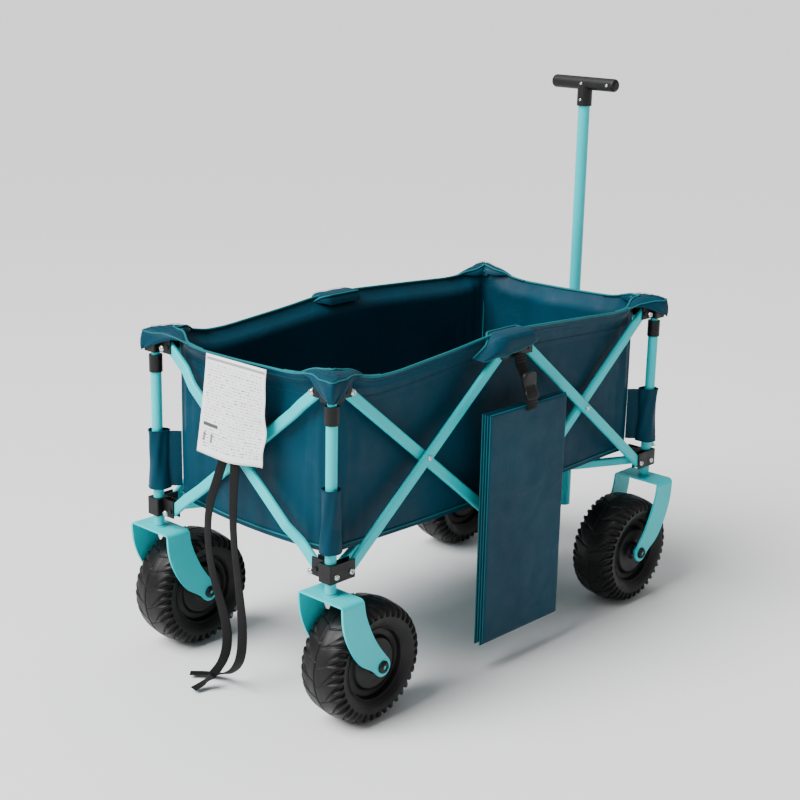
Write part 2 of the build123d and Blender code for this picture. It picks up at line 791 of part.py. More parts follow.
tie_routes = {
    "tie_strap_left": [
        (-449, 11, 430),
        (-454, 22, 388),
        (-459, 38, 345),
        (-460, 48, 300),
        (-460, 47, 252),
        (-460, 36, 204),
        (-460, 16, 160),
        (-461, 0, 121),
        (-462, -2, 88),
        (-464, 6, 60),
        (-468, 19, 38),
        (-475, 31, 21),
        (-486, 38, 10),
        (-503, 40, 7),
    ],
    "tie_strap_right": [
        (-449, -11, 430),
        (-455, -15, 385),
        (-460, -17, 340),
        (-461, -18, 295),
        (-460, -22, 250),
        (-460, -30, 200),
        (-460, -37, 150),
        (-459, -37, 108),
        (-454, -27, 72),
        (-446, -6, 43),
        (-440, 20, 22),
        (-440, 47, 10),
        (-449, 72, 7),
        (-468, 91, 7),
    ],
}


def arc_radii(points):
    """One radius for each corner: 0.45 of the shorter run over the tangent of half the turn."""
    radii = []
    for before, here, after in zip(points, points[1:], points[2:]):
        arriving = Vector(*here) - Vector(*before)
        leaving = Vector(*after) - Vector(*here)
        turn = math.radians(arriving.get_angle(leaving))
        shorter = min(arriving.length, leaving.length)
        radii.append(0.45 * shorter / math.tan(turn / 2))
    return radii


for name, route in tie_routes.items():
    radii = arc_radii(route)
    with BuildPart() as tie:
        with BuildLine():
            path = FilletPolyline(*route, radius=radii)
        with BuildSketch(Plane(origin=path @ 0, z_dir=path % 0)):
            Circle(tie_d / 2)
        sweep(path=path)
    save(tie, name)
    section = math.pi * tie_d**2 / 4
    print("  length", round(path.length), "radii", [round(radius) for radius in radii])
    print("  volume over section times length", round(tie.part.volume / (section * path.length), 4))
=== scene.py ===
# %% [markdown]
# # A folding wagon with a pull handle
#
# The steel frame, the joints and the plain stand-ins for the soft parts arrive as a packed
# model in metres, +Z up. This lesson adds what a buyer looks at: paint, plastic, tread,
# cloth, stitching and hardware. Everything is placed from that model's own sizes.

# %% Load the frame
import math
import random

import bpy
import numpy as np
from mathutils import Matrix, Vector


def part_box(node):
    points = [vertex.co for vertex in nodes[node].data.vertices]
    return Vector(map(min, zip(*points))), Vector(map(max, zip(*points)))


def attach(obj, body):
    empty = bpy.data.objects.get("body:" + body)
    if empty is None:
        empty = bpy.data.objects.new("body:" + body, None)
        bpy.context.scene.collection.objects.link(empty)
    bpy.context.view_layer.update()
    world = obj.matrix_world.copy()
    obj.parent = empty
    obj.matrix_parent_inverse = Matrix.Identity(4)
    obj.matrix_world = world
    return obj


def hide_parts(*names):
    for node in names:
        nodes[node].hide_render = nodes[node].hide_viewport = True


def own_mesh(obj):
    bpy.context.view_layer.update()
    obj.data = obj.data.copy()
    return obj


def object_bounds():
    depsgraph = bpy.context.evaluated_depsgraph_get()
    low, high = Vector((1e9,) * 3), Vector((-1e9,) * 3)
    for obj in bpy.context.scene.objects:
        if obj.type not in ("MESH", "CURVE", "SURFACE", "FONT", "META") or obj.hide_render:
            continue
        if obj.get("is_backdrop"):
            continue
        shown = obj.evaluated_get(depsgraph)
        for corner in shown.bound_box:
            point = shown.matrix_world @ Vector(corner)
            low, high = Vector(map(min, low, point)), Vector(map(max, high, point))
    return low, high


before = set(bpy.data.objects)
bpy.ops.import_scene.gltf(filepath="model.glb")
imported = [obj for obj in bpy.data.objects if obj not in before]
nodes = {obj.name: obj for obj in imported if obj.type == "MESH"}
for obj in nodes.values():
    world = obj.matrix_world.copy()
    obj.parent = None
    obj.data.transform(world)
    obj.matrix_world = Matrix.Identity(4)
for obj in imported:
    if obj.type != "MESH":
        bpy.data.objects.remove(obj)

cad_low, cad_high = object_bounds()
corner_signs = {
    "rear_right": (-1, -1),
    "rear_left": (-1, 1),
    "front_right": (1, -1),
    "front_left": (1, 1),
}
side_signs = {"right": -1, "left": 1}
end_signs = {"rear": -1, "front": 1}
rod_low, rod_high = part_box("upper_rod_front_left")
half_x = (rod_low.x + rod_high.x) / 2
half_y = (rod_low.y + rod_high.y) / 2
print("posts stand", round(2 * half_x, 3), "by", round(2 * half_y, 3), "m apart")

# %% [markdown]
# ## Camera
#
# The wagon is seen from its rear right corner, a little above the rim. The camera is placed
# by its eye point and three angles, and its axes are built from them: a rotation matrix
# whose columns are the camera's right, up and backward directions.

# %% Camera
LENS = 71.3
YAW, PITCH, ROLL = 0.82165, 0.28015, 0.02126
EYE = Vector((-2.0614, -1.8737, 1.2276))

forward = Vector((math.sin(YAW) * math.cos(PITCH), math.cos(YAW) * math.cos(PITCH), -math.sin(PITCH)))
level = Vector((math.cos(YAW), -math.sin(YAW), 0))
upright = level.cross(forward)
camera_right = level * math.cos(ROLL) + upright * math.sin(ROLL)
camera_up = upright * math.cos(ROLL) - level * math.sin(ROLL)

camera_data = bpy.data.cameras.new("camera")
camera_data.lens = LENS
camera = bpy.data.objects.new("camera", camera_data)
bpy.context.scene.collection.objects.link(camera)
camera_axes = Matrix((camera_right, camera_up, -forward)).transposed().to_4x4()
camera.matrix_world = Matrix.Translation(EYE) @ camera_axes
bpy.context.scene.camera = camera
print("camera at", [round(v, 3) for v in EYE], "lens", LENS)

# %% [markdown]
# ## Shapes from rows of points
#
# Almost every soft piece here is a net: rows of points joined into four-sided faces. One
# small class gathers nets and swept strips, each with the number of the finish it takes,
# and turns them into one mesh. That keeps a hem, its piping and its stitches in one piece,
# so they move together when the wagon folds.


# %% A net of points becomes a mesh
class Net:
    """Points and faces gathered from several grids, before they become one piece."""

    def __init__(self):
        self.points, self.faces, self.finishes = [], [], []

    def grid(self, rows, finish=0, around=False, closed=False):
        """Rows by columns of points. around joins each row's ends, closed the first and last rows."""
        rows = np.asarray(rows, float)
        height, width = rows.shape[:2]
        start = len(self.points)
        self.points += rows.reshape(-1, 3).tolist()
        for row in range(height if closed else height - 1):
            above = (row + 1) % height
            for column in range(width if around else width - 1):
                beside = (column + 1) % width
                corners = ((row, column), (row, beside), (above, beside), (above, column))
                self.faces.append([start + across * width + along for across, along in corners])
                self.finishes.append(finish)
        return self

    def cap(self, ring, finish=0):
        """One face that closes a ring of points."""
        start = len(self.points)
        self.points += np.asarray(ring, float).tolist()
        self.faces.append(list(range(start, start + len(ring))))
        self.finishes.append(finish)
        return self

    def piece(self, name, materials, body, slot):
        """The mesh as a smooth object that rides on a body."""
        mesh = bpy.data.meshes.new(name)
        mesh.from_pydata(self.points, [], self.faces)
        for material in materials:
            mesh.materials.append(material)
        mesh.polygons.foreach_set("material_index", self.finishes)
        mesh.polygons.foreach_set("use_smooth", [True] * len(self.faces))
        mesh.validate()
        made = bpy.data.objects.new(name, mesh)
        bpy.context.scene.collection.objects.link(made)
        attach(made, body)
        return made


def add_modifier(piece, kind, **settings):
    """A modifier with its settings."""
    modifier = piece.modifiers.new(kind.title(), kind)
    for key, value in settings.items():
        setattr(modifier, key, value)


def sweep(line, section, across=None):
    """Rings of a section (width, thickness) carried along a line. across is the direction of
    its width, one for the whole line or one for each point."""
    line = np.asarray(line, float)
    along = np.gradient(line, axis=0)
    along /= np.linalg.norm(along, axis=1)[:, None]
    if across is None:
        across = np.tile([0.0, 0.0, 1.0], (len(line), 1))
        steep = np.abs(along[:, 2]) > 0.8
        across[steep] = (0.7, 0.7, 0)
    across = np.broadcast_to(np.asarray(across, float), line.shape)
    across = across - (across * along).sum(1)[:, None] * along
    across /= np.linalg.norm(across, axis=1)[:, None]
    deep = np.cross(along, across)
    section = np.asarray(section, float)
    rings = across[:, None] * section[None, :, :1] + deep[:, None] * section[None, :, 1:]
    return line[:, None] + rings


def round_section(radius, sides=8):
    """Points round a circle."""
    return [(radius * math.cos(a), radius * math.sin(a)) for a in np.arange(sides) * math.tau / sides]


def flat_section(width, thick):
    """A flat strap's section, with its edges eased."""
    w, t = width / 2, thick / 2
    lower = [(-w, -t * 0.5), (-w * 0.9, -t), (w * 0.9, -t), (w, -t * 0.5)]
    return lower + [(-across, -deep) for across, deep in lower]


def ease(value, low, high):
    """0 below low, 1 above high, smooth between."""
    t = np.clip((np.asarray(value, float) - low) / (high - low), 0, 1)
    return t * t * (3 - 2 * t)


# %% [markdown]
# ## Finishes
#
# Each finish is a small node tree on the Principled shader. A helper adds a node, sets its
# values and wires it, so that every recipe below reads as a list of what the real surface
# has: a base colour that wanders a little, a roughness, and relief at its own scale.


# %% Helpers for materials
class Finish:
    """A material that is being put together."""

    def __init__(self, name, roughness, **sockets):
        self.material = bpy.data.materials.new(name)
        self.material.use_nodes = True
        self.tree = self.material.node_tree
        self.shader = self.tree.nodes["Principled BSDF"]
        self.shader.inputs["Roughness"].default_value = roughness
        for key, value in sockets.items():
            self.shader.inputs[key.replace("_", " ")].default_value = value

    def node(self, kind, inputs=None, **settings):
        """A node; inputs are values or the output sockets that feed it."""
        made = self.tree.nodes.new("ShaderNode" + kind)
        for key, value in settings.items():
            setattr(made, key, value)
        for key, value in (inputs or {}).items():
            if isinstance(value, bpy.types.NodeSocket):
                self.tree.links.new(value, made.inputs[key])
            else:
                made.inputs[key].default_value = value
        return made

    def place(self, scale):
        """Object coordinates, stretched along each axis."""
        coordinates = self.node("TexCoord")
        inputs = {"Vector": coordinates.outputs["Object"], "Scale": scale}
        return self.node("Mapping", inputs).outputs["Vector"]

    def noise(self, scale, stretch=(1, 1, 1), detail=3, distortion=0.0):
        """A noise pattern's value."""
        inputs = {"Vector": self.place(stretch), "Scale": scale, "Detail": detail, "Distortion": distortion}
        return self.node("TexNoise", inputs).outputs["Fac"]

    def ramp(self, value, stops):
        """A value turned into a colour or a curve, from (position, grey or colour) stops."""
        ramp = self.node("ValToRGB", {"Fac": value})
        elements = ramp.color_ramp.elements
        while len(elements) < len(stops):
            elements.new(0.5)
        for element, (position, colour) in zip(elements, stops):
            element.position = position
            grey = (colour, colour, colour)
            element.color = (*(colour if isinstance(colour, tuple) else grey), 1)
        return ramp.outputs["Color"]

    def math(self, operation, first, second):
        """One sum on two values."""
        return self.node("Math", {0: first, 1: second}, operation=operation).outputs[0]

    def relief(self, value, distance, strength=1.0, under=None):
        """A bump, on top of an earlier one if it is given."""
        inputs = {"Height": value, "Distance": distance, "Strength": strength}
        if under is not None:
            inputs["Normal"] = under
        return self.node("Bump", inputs).outputs["Normal"]

    def wire(self, **sockets):
        """Feed the shader's sockets."""
        for key, value in sockets.items():
            self.tree.links.new(value, self.shader.inputs[key.replace("_", " ")])
        return self.material


# %% [markdown]
# ### Hard finishes
#
# The tubes and forks are powder coated: a thick, even, bright film with a faint orange peel
# that softens reflections. The brackets and the grip are moulded nylon with a fine spark
# texture. The tyres are a black plastic too, with a little dust on it in soft patches.


# %% Powder coat, plastics and zinc
def powder_coat():
    coat = Finish("frame_powder_coat", 0.34, Coat_Weight=0.08, Coat_Roughness=0.2, Specular_IOR_Level=0.25)
    drift = coat.noise(7.0, detail=2)
    colour = coat.ramp(drift, [(0.3, (0.0, 0.500, 0.545)), (0.7, (0.0, 0.570, 0.615))])
    rough = coat.ramp(coat.noise(38.0), [(0.35, 0.30), (0.7, 0.40)])
    peel = coat.relief(coat.noise(420.0, detail=1), 0.0002, 0.25)
    return coat.wire(Base_Color=colour, Roughness=rough, Normal=peel)


def moulded_plastic():
    plastic = Finish("moulded_nylon", 0.45, Specular_IOR_Level=0.28)
    dark, light = (0.0035, 0.0035, 0.0040), (0.0070, 0.0070, 0.0075)
    colour = plastic.ramp(plastic.noise(24.0), [(0.3, dark), (0.7, light)])
    rough = plastic.ramp(plastic.noise(60.0), [(0.3, 0.38), (0.7, 0.52)])
    grain = plastic.relief(plastic.noise(1500.0, detail=2), 0.00015, 0.5)
    return plastic.wire(Base_Color=colour, Roughness=rough, Normal=grain)


def tyre_plastic():
    tyre = Finish("tyre_plastic", 0.45, Specular_IOR_Level=0.22)
    dust = tyre.noise(16.0, detail=6, distortion=0.6)
    colour = tyre.ramp(dust, [(0.35, (0.0030, 0.0030, 0.0032)), (0.75, (0.0085, 0.0082, 0.0080))])
    rough = tyre.ramp(tyre.noise(45.0, detail=5), [(0.3, 0.34), (0.75, 0.52)])
    pores = tyre.relief(tyre.noise(900.0, detail=3), 0.0002, 0.45)
    return tyre.wire(Base_Color=colour, Roughness=rough, Normal=pores)


def zinc_screw():
    zinc = Finish("zinc_plated_steel", 0.28, Metallic=1.0)
    colour = zinc.ramp(zinc.noise(300.0), [(0.3, (0.50, 0.51, 0.52)), (0.7, (0.72, 0.72, 0.70))])
    scratches = zinc.relief(zinc.noise(900.0, stretch=(1, 1, 6)), 0.0001, 0.3)
    return zinc.wire(Base_Color=colour, Normal=scratches)


frame_paint = powder_coat()
black_plastic = moulded_plastic()
tyre_black = tyre_plastic()
screw_steel = zinc_screw()
print("hard finishes:", [material.name for material in bpy.data.materials])

# %% [markdown]
# ### Cloth
#
# The basket and mat are coated polyester: a tight plain weave, slightly satin, with creases
# from being folded in its box. Threads are noise stretched along one axis, once upright and
# once level, which never makes the moire that a perfect grid would. Slow noise adds
# broad soft creases, and sheen gives the pale bloom where cloth turns away.


# %% Woven cloth
def woven(name, dark, light, roughness=0.55, sheen=0.02, crease=1.0, thread=520.0):
    cloth = Finish(name, roughness, Sheen_Weight=sheen, Sheen_Roughness=0.45, Specular_IOR_Level=0.14)
    warp = cloth.noise(thread, stretch=(1, 1, 0.06), detail=1)
    weft = cloth.noise(thread, stretch=(0.06, 0.06, 1), detail=1)
    weave = cloth.math("ADD", warp, weft)
    drift = cloth.noise(5.0, detail=4)
    patches = cloth.math("ADD", cloth.math("MULTIPLY", drift, 0.75), cloth.math("MULTIPLY", weave, 0.125))
    colour = cloth.ramp(patches, [(0.32, dark), (0.68, light)])
    rough = cloth.ramp(cloth.noise(30.0), [(0.3, roughness - 0.07), (0.7, roughness + 0.07)])
    creases = cloth.relief(cloth.noise(13.0, detail=4, distortion=1.2), 0.006 * crease, 0.35)
    threads = cloth.relief(weave, 0.0003, 0.35, under=creases)
    return cloth.wire(Base_Color=colour, Roughness=rough, Normal=threads)


basket_cloth = woven("basket_cloth", (0.0005, 0.026, 0.048), (0.0012, 0.044, 0.076))
piping_cloth = woven("piping_binding", (0.004, 0.100, 0.120), (0.008, 0.150, 0.175), crease=0.2, thread=900.0)
stitch_thread = woven("stitch_thread", (0.010, 0.060, 0.085), (0.018, 0.090, 0.120), crease=0, thread=1500.0)
webbing_cloth = woven("black_webbing", (0.0035, 0.0035, 0.0038), (0.0080, 0.0080, 0.0080), 0.6, crease=0.1)
sewn_finishes = [basket_cloth, piping_cloth, stitch_thread]
# Their places in a sewn piece's list of finishes:
CLOTH_FACES, PIPING_FACES, STITCH_FACES = range(3)
print("sewn finishes:", [material.name for material in sewn_finishes])

# %% [markdown]
# ### Paper
#
# A paper leaflet hangs from the rear rim. It is a white sheet with a thin printed rule at its
# top, rows of grey marks that stand for small print without saying anything, one dark bar and
# two small grey figures. The marks come from the sheet's own width and height coordinates.


# %% Printed paper
def printed_paper():
    paper = Finish("leaflet_paper", 0.6, Specular_IOR_Level=0.3)
    flat = paper.node("UVMap", uv_map="sheet")
    split = paper.node("SeparateXYZ", {"Vector": flat.outputs["UV"]})
    u, v = split.outputs["X"], split.outputs["Y"]

    def band(value, low, high):
        above = paper.math("GREATER_THAN", value, low)
        return paper.math("MULTIPLY", above, paper.math("LESS_THAN", value, high))

    def block(left, right, bottom, top):
        return paper.math("MULTIPLY", band(u, left, right), band(v, bottom, top))

    stretched = paper.node("Mapping", {"Vector": flat.outputs["UV"], "Scale": (90.0, 16.0, 1.0)})
    speckle = {"Vector": stretched.outputs["Vector"], "Scale": 1.0, "Detail": 1.0}
    specks = paper.node("TexNoise", speckle).outputs["Fac"]
    line_phase = paper.math("FRACT", paper.math("MULTIPLY", v, 34.0), 0.0)
    rows = paper.math("GREATER_THAN", line_phase, 0.62)
    words = paper.math("MULTIPLY", paper.math("GREATER_THAN", specks, 0.54), rows)
    print_area = paper.math("MULTIPLY", words, block(0.05, 0.95, 0.06, 0.92))
    ink = paper.math("MULTIPLY", print_area, 0.85)
    # Each mark: left, right, bottom, top, darkness. A dark bar, a rule, then two small figures.
    marks = [(0.06, 0.30, 0.285, 0.32, 0.95), (0.02, 0.98, 0.945, 0.972, 0.65)]
    for left in (0.08, 0.20):
        marks += [(left, left + 0.035, 0.13, 0.22, 0.8), (left - 0.01, left + 0.06, 0.19, 0.205, 0.7)]
    for *edges, darkness in marks:
        ink = paper.math("MAXIMUM", ink, paper.math("MULTIPLY", block(*edges), darkness))
    bare, printed = (0.82, 0.83, 0.84, 1), (0.03, 0.03, 0.035, 1)
    colour = paper.node("Mix", {0: ink, 6: bare, 7: printed}, data_type="RGBA")
    fibres = paper.relief(paper.noise(500.0), 0.0001, 0.3)
    return paper.wire(Base_Color=colour.outputs[2], Normal=fibres)


paper_white = printed_paper()
print(paper_white.name, "has", len(paper_white.node_tree.nodes), "nodes")

# %% [markdown]
# ## Paint the steel and the mouldings
#
# The CAD tubes, posts, forks and brackets already have their true shape. They only take
# their finish here: paint on everything steel, black on every moulding.

# %% Assign finishes to the CAD nodes
BLACK_NODES = ("lower_bracket", "top_bracket", "middle_", "handle_grip")
PAINTED_NODES = (
    "side_tube", "end_tube", "lower_post", "upper_rod", "fork",
    "floor_arm", "floor_hub", "drawbar", "handle_outer", "handle_inner",
)
for name, node in nodes.items():
    finish = black_plastic if name.startswith(BLACK_NODES) else frame_paint
    if name.startswith(BLACK_NODES + PAINTED_NODES):
        node.data.materials.clear()
        node.data.materials.append(finish)
print("painted", sum(frame_paint in list(node.data.materials) for node in nodes.values()), "nodes")

# %% [markdown]
# ## Tie straps
#
# Two flat straps of thin webbing hang from the rear crossing and trail on the floor. Each
# follows a smooth NURBS line that is drawn by the same points as its CAD stand-in, in metres.
# The strap itself is a thin band swept along that line, turned so that it sways to and fro on
# its way down, as limp webbing does.

# %% Tie straps
tie_routes = {
    "tie_strap_left": [
        (-0.449, 0.011, 0.430), (-0.454, 0.022, 0.388), (-0.459, 0.038, 0.345), (-0.460, 0.048, 0.300),
        (-0.460, 0.047, 0.252), (-0.460, 0.036, 0.204), (-0.460, 0.016, 0.160), (-0.461, 0.000, 0.121),
        (-0.462, -0.002, 0.088), (-0.464, 0.006, 0.060), (-0.468, 0.019, 0.038), (-0.475, 0.031, 0.021),
        (-0.486, 0.038, 0.010), (-0.503, 0.040, 0.007),
    ],
    "tie_strap_right": [
        (-0.449, -0.011, 0.430), (-0.455, -0.015, 0.385), (-0.460, -0.017, 0.340), (-0.461, -0.018, 0.295),
        (-0.460, -0.022, 0.250), (-0.460, -0.030, 0.200), (-0.460, -0.037, 0.150), (-0.459, -0.037, 0.108),
        (-0.454, -0.027, 0.072), (-0.446, -0.006, 0.043), (-0.440, 0.020, 0.022), (-0.440, 0.047, 0.010),
        (-0.449, 0.072, 0.007), (-0.468, 0.091, 0.007),
    ],
}
STRAP_WIDTH = 0.0165
STRAP_THICK = 0.0014


def smooth_route(route):
    """The points of a NURBS line through a route's control points."""
    curve = bpy.data.curves.new("route", "CURVE")
    curve.dimensions = "3D"
    spline = curve.splines.new("NURBS")
    spline.points.add(len(route) - 1)
    for point, place in zip(spline.points, route):
        point.co = (*place, 1)
    spline.order_u = 3
    spline.use_endpoint_u = True
    spline.resolution_u = 12
    carrier = bpy.data.objects.new("route", curve)
    line = bpy.data.meshes.new_from_object(carrier)
    points = np.array([vertex.co for vertex in line.vertices], float)
    bpy.data.curves.remove(curve)
    return points


for name, route in tie_routes.items():
    line = smooth_route(route)
    share = np.linspace(0, 1, len(line))
    # It turns slowly to and fro on its way down, and lies flat on the floor at its end.
    sway = (0.5 * np.sin(share * math.tau) - 0.55) * (1 - ease(share, 0.75, 1))
    across = np.stack([np.sin(sway) * 0.8, np.cos(sway), 0 * share], axis=1)
    floor_turn = ease(share, 0.78, 0.92)[:, None]
    heading = np.gradient(line, axis=0)
    flat = np.cross(heading / np.linalg.norm(heading, axis=1)[:, None], (0, 0, 1.0))
    flat *= np.sign((flat * across).sum(1))[:, None]
    across = across * (1 - floor_turn) + flat * floor_turn
    band = sweep(line, flat_section(STRAP_WIDTH, STRAP_THICK), across)
    strap = Net().grid(band, around=True).cap(band[0][::-1]).cap(band[-1])
    tie = strap.piece(name + "_webbing", [webbing_cloth], "rear_right_top", "webbing")
    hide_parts(name)
    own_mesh(tie)

# %% [markdown]
# ## Tyres and hubs
#
# The tyres are blow-moulded with a chunky tread: smooth lozenge blocks on both sides of a
# fine groove, parted by slanting grooves that fork and deepen towards the shoulder. Rather
# than modelling one lug and copying it, the whole tyre is one net of rings whose radius
# follows a formula in the angle and in the place across the width, so the lugs blend into
# the wall as a moulding does.

# %% Tyre
TYRE_HALF = 0.0445
LUGS = 20
RING_STEPS = LUGS * 26


def tyre_profile():
    """Half widths and radii across the tyre, and how strongly the tread shows there."""
    outline = [
        (-0.0350, 0.0620, 0.0), (-0.0365, 0.0640, 0.0), (-0.0395, 0.0685, 0.0), (-0.0425, 0.0745, 0.0),
        (-0.0440, 0.0800, 0.0), (-0.0444, 0.0828, 0.05), (-0.0445, 0.0845, 0.75), (-0.0443, 0.0875, 1.0),
        (-0.0435, 0.0905, 1.0), (-0.0415, 0.0938, 1.0), (-0.0385, 0.0968, 1.0), (-0.0345, 0.0992, 1.0),
        (-0.0295, 0.1010, 1.0), (-0.0240, 0.1022, 1.0), (-0.0180, 0.1031, 1.0), (-0.0120, 0.1038, 1.0),
        (-0.0080, 0.1045, 1.0), (-0.0050, 0.1048, 1.0), (-0.0025, 0.1050, 1.0), (-0.0010, 0.1050, 1.0),
        (0.0, 0.1050, 0.0),
    ]
    half = np.array(outline)
    share = np.linspace(0, len(half) - 1, 3 * len(half))
    fine = np.stack([np.interp(share, np.arange(len(half)), half[:, k]) for k in range(3)], axis=1)
    mirrored = fine[:-1][::-1] * (-1, 1, 1)
    return np.concatenate([fine, mirrored])


def tyre_net():
    """The tyre, its axis along Y through the origin."""
    profile = tyre_profile()
    angle = np.arange(RING_STEPS) * math.tau / RING_STEPS
    width, radius, tread = (profile[:, k][None, :] for k in range(3))
    side = np.sign(width)
    reach = np.abs(width) / TYRE_HALF
    # Grooves lean forward as they leave the middle, and each forks once before the shoulder.
    lean = 0.62 * reach**1.3 + 0.25 * (side > 0)
    turn = angle[:, None] * LUGS / math.tau + 0 * reach
    cut = 0 * turn
    for branch in (0.0, 0.5 * ease(reach, 0.22, 0.85)):
        away = np.abs((turn + lean + branch) % 1.0 - 0.5)
        wide = 0.045 + 0.105 * ease(reach, 0.50, 0.95)
        cut = np.maximum(cut, 1 - ease(away, wide * 0.55, wide * 1.25))
    cut = tread * cut
    depth = 0.0014 + 0.0046 * ease(reach, 0.45, 0.95)
    middle_groove = 0.0016 * (1 - ease(np.abs(width), 0.0009, 0.0022))
    shrunk = radius - np.maximum(depth * cut, middle_groove)
    pinched = width - side * 0.0030 * cut * ease(reach, 0.75, 1.0)
    rows = np.stack(
        [shrunk * np.cos(angle)[:, None], pinched + 0 * angle[:, None], shrunk * np.sin(angle)[:, None]],
        axis=-1,
    )
    return Net().grid(rows, closed=True)


print("tread:", LUGS, "lugs on each side, a ring every", round(360 / RING_STEPS, 2), "degrees")


# %% Hub and the four wheels
def hub_net():
    """Both faces of the hub drum: the bead seat, a ring recess, a raised disc and a boss."""
    face = [
        (0.0350, 0.0625), (0.0362, 0.0618), (0.0358, 0.0606), (0.0330, 0.0595), (0.0270, 0.0584),
        (0.0253, 0.0572), (0.0250, 0.0550), (0.0250, 0.0500), (0.0254, 0.0478), (0.0270, 0.0458),
        (0.0300, 0.0438), (0.0318, 0.0428), (0.0322, 0.0415), (0.0322, 0.0390), (0.0319, 0.0360),
        (0.0316, 0.0250), (0.0318, 0.0185), (0.0330, 0.0162), (0.0360, 0.0150), (0.0372, 0.0142),
        (0.0376, 0.0130), (0.0378, 0.0062), (0.0200, 0.0062),
    ]
    angle = np.arange(96) * math.tau / 96
    outline = [(-w, r) for w, r in face[::-1]] + face
    rows = [[(r * math.cos(a), w, r * math.sin(a)) for w, r in outline] for a in angle]
    return Net().grid(rows, closed=True)


for corner in corner_signs:
    low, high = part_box("wheel_" + corner)
    centre = (low + high) / 2
    for label, maker in (("tyre", tyre_net), ("hub", hub_net)):
        net = maker()
        net.points = (np.array(net.points) + np.array(centre)).tolist()
        made = net.piece(f"{label}_{corner}", [tyre_black], "wheel_" + corner, "tyre_black")
        if label == "tyre":
            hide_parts("wheel_" + corner)
        print(made.name, len(made.data.vertices), "points")

# %% [markdown]
# ## Screws, rivets and axle bolts
#
# The scissor pivots are button-head screws with a six-sided socket. A turned shape does it:
# a low dome, a rim, and a hexagonal well. The same head in four sizes covers the bracket
# screws, the crossing rivets, the black bolts at the axles and the small screws in the grip.


# %% One screw head
def screw_head(name, place, normal, radius, body, material=screw_steel, slot="frame_paint"):
    """A domed head with a hexagonal socket, its seat at place, facing along normal."""
    normal = Vector(normal).normalized()
    turn = normal.to_track_quat("Z", "Y").to_matrix()
    sides = 36
    angle = np.arange(sides) * math.tau / sides
    hexagon = 0.866 / np.cos((angle % (math.tau / 6)) - math.tau / 12)
    rings = []
    for reach, height in ((1.0, -0.10), (1.0, 0.10), (0.97, 0.22), (0.86, 0.38), (0.70, 0.48), (0.52, 0.52)):
        rings.append([(reach * math.cos(a), reach * math.sin(a), height) for a in angle])
    for shrink, height in ((0.42, 0.52), (0.38, 0.46), (0.36, 0.18), (0.05, 0.14)):
        flats = [(shrink * h, a) for a, h in zip(angle, hexagon)]
        rings.append([(reach * math.cos(a), reach * math.sin(a), height) for reach, a in flats])
    rows = (np.array(rings) * radius) @ np.array(turn).T + np.array(place)
    net = Net().grid(rows, around=True).cap(rows[-1]).cap(rows[0][::-1])
    return net.piece(name, [material], body, slot)


# %% Bracket screws
PIVOT_OFFSET = 0.033
LOW_PIVOT_Z, TOP_PIVOT_Z = 0.270, 0.565
CROSSING_Z = (LOW_PIVOT_Z + TOP_PIVOT_Z) / 2
SCREW_R = 0.0052
SCREW_SUNK = 0.0012
COLLAR_FACE = 0.0140
BRACKETS = [
    ("low", "lower_bracket_", "_corner", LOW_PIVOT_Z),
    ("top", "top_bracket_", "_top", TOP_PIVOT_Z),
]

for corner, (sx, sy) in corner_signs.items():
    x, y = sx * half_x, sy * half_y
    for level_name, node, ending, z in BRACKETS:
        low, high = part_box(node + corner)
        outer_x = low.x if sx < 0 else high.x
        outer_y = low.y if sy < 0 else high.y
        side_place = (x - sx * PIVOT_OFFSET, outer_y - sy * SCREW_SUNK, z)
        end_place = (outer_x - sx * SCREW_SUNK, y - sy * PIVOT_OFFSET, z)
        screw_head(f"screw_{level_name}_side_{corner}", side_place, (0, sy, 0), SCREW_R, corner + ending)
        screw_head(f"screw_{level_name}_end_{corner}", end_place, (sx, 0, 0), SCREW_R, corner + ending)
        if level_name == "low":
            post_place = (x, y + sy * COLLAR_FACE, z - 0.001)
            screw_head(f"screw_post_{corner}", post_place, (0, sy, 0), SCREW_R, corner + ending)

# %% Crossing rivets
RIVET_R = 0.0046
RIVET_SUNK = 0.0006
for side, sy in side_signs.items():
    for end, sx in end_signs.items():
        low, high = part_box(f"side_tube_outer_{end}_{side}")
        outer_y = low.y if sy < 0 else high.y
        place = (sx * half_x / 2, outer_y - sy * RIVET_SUNK, CROSSING_Z)
        screw_head(f"rivet_{end}_{side}", place, (0, sy, 0), RIVET_R, f"side_outer_{end}_{side}")
print("crossing rivets at", round(half_x / 2, 3), "m from the middle,", round(CROSSING_Z, 3), "m up")

# %% Axle bolts and grip screws
AXLE_BODY = {"rear": "{}_corner", "front": "caster_{}"}
AXLE_BOLT_R = 0.0108
AXLE_BOLT_SUNK = 0.0038
for corner, (sx, sy) in corner_signs.items():
    low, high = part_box("fork_" + corner)
    wheel_low, wheel_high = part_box("wheel_" + corner)
    centre = (wheel_low + wheel_high) / 2
    body = AXLE_BODY[corner.split("_")[0]].format(corner)
    for hand, outer in ((-1, low.y), (1, high.y)):
        name = f"axle_bolt_{'outer' if hand == sy else 'inner'}_{corner}"
        place = (centre.x, outer - hand * AXLE_BOLT_SUNK, centre.z)
        screw_head(name, place, (0, hand, 0), AXLE_BOLT_R, body, black_plastic, "black_plastic")

GRIP_SCREW_R = 0.003
low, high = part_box("handle_grip")
grip_z = high.z - 0.0125
for label, y, z in (("end", -0.060, grip_z), ("middle", 0.0, grip_z), ("stem", 0.0, grip_z - 0.031)):
    place = (low.x + SCREW_SUNK, y, z)
    screw_head("grip_screw_" + label, place, (-1, 0, 0), GRIP_SCREW_R, "handle_slider", slot="black_plastic")
print("the grip's middle is", round(grip_z, 3), "m up")

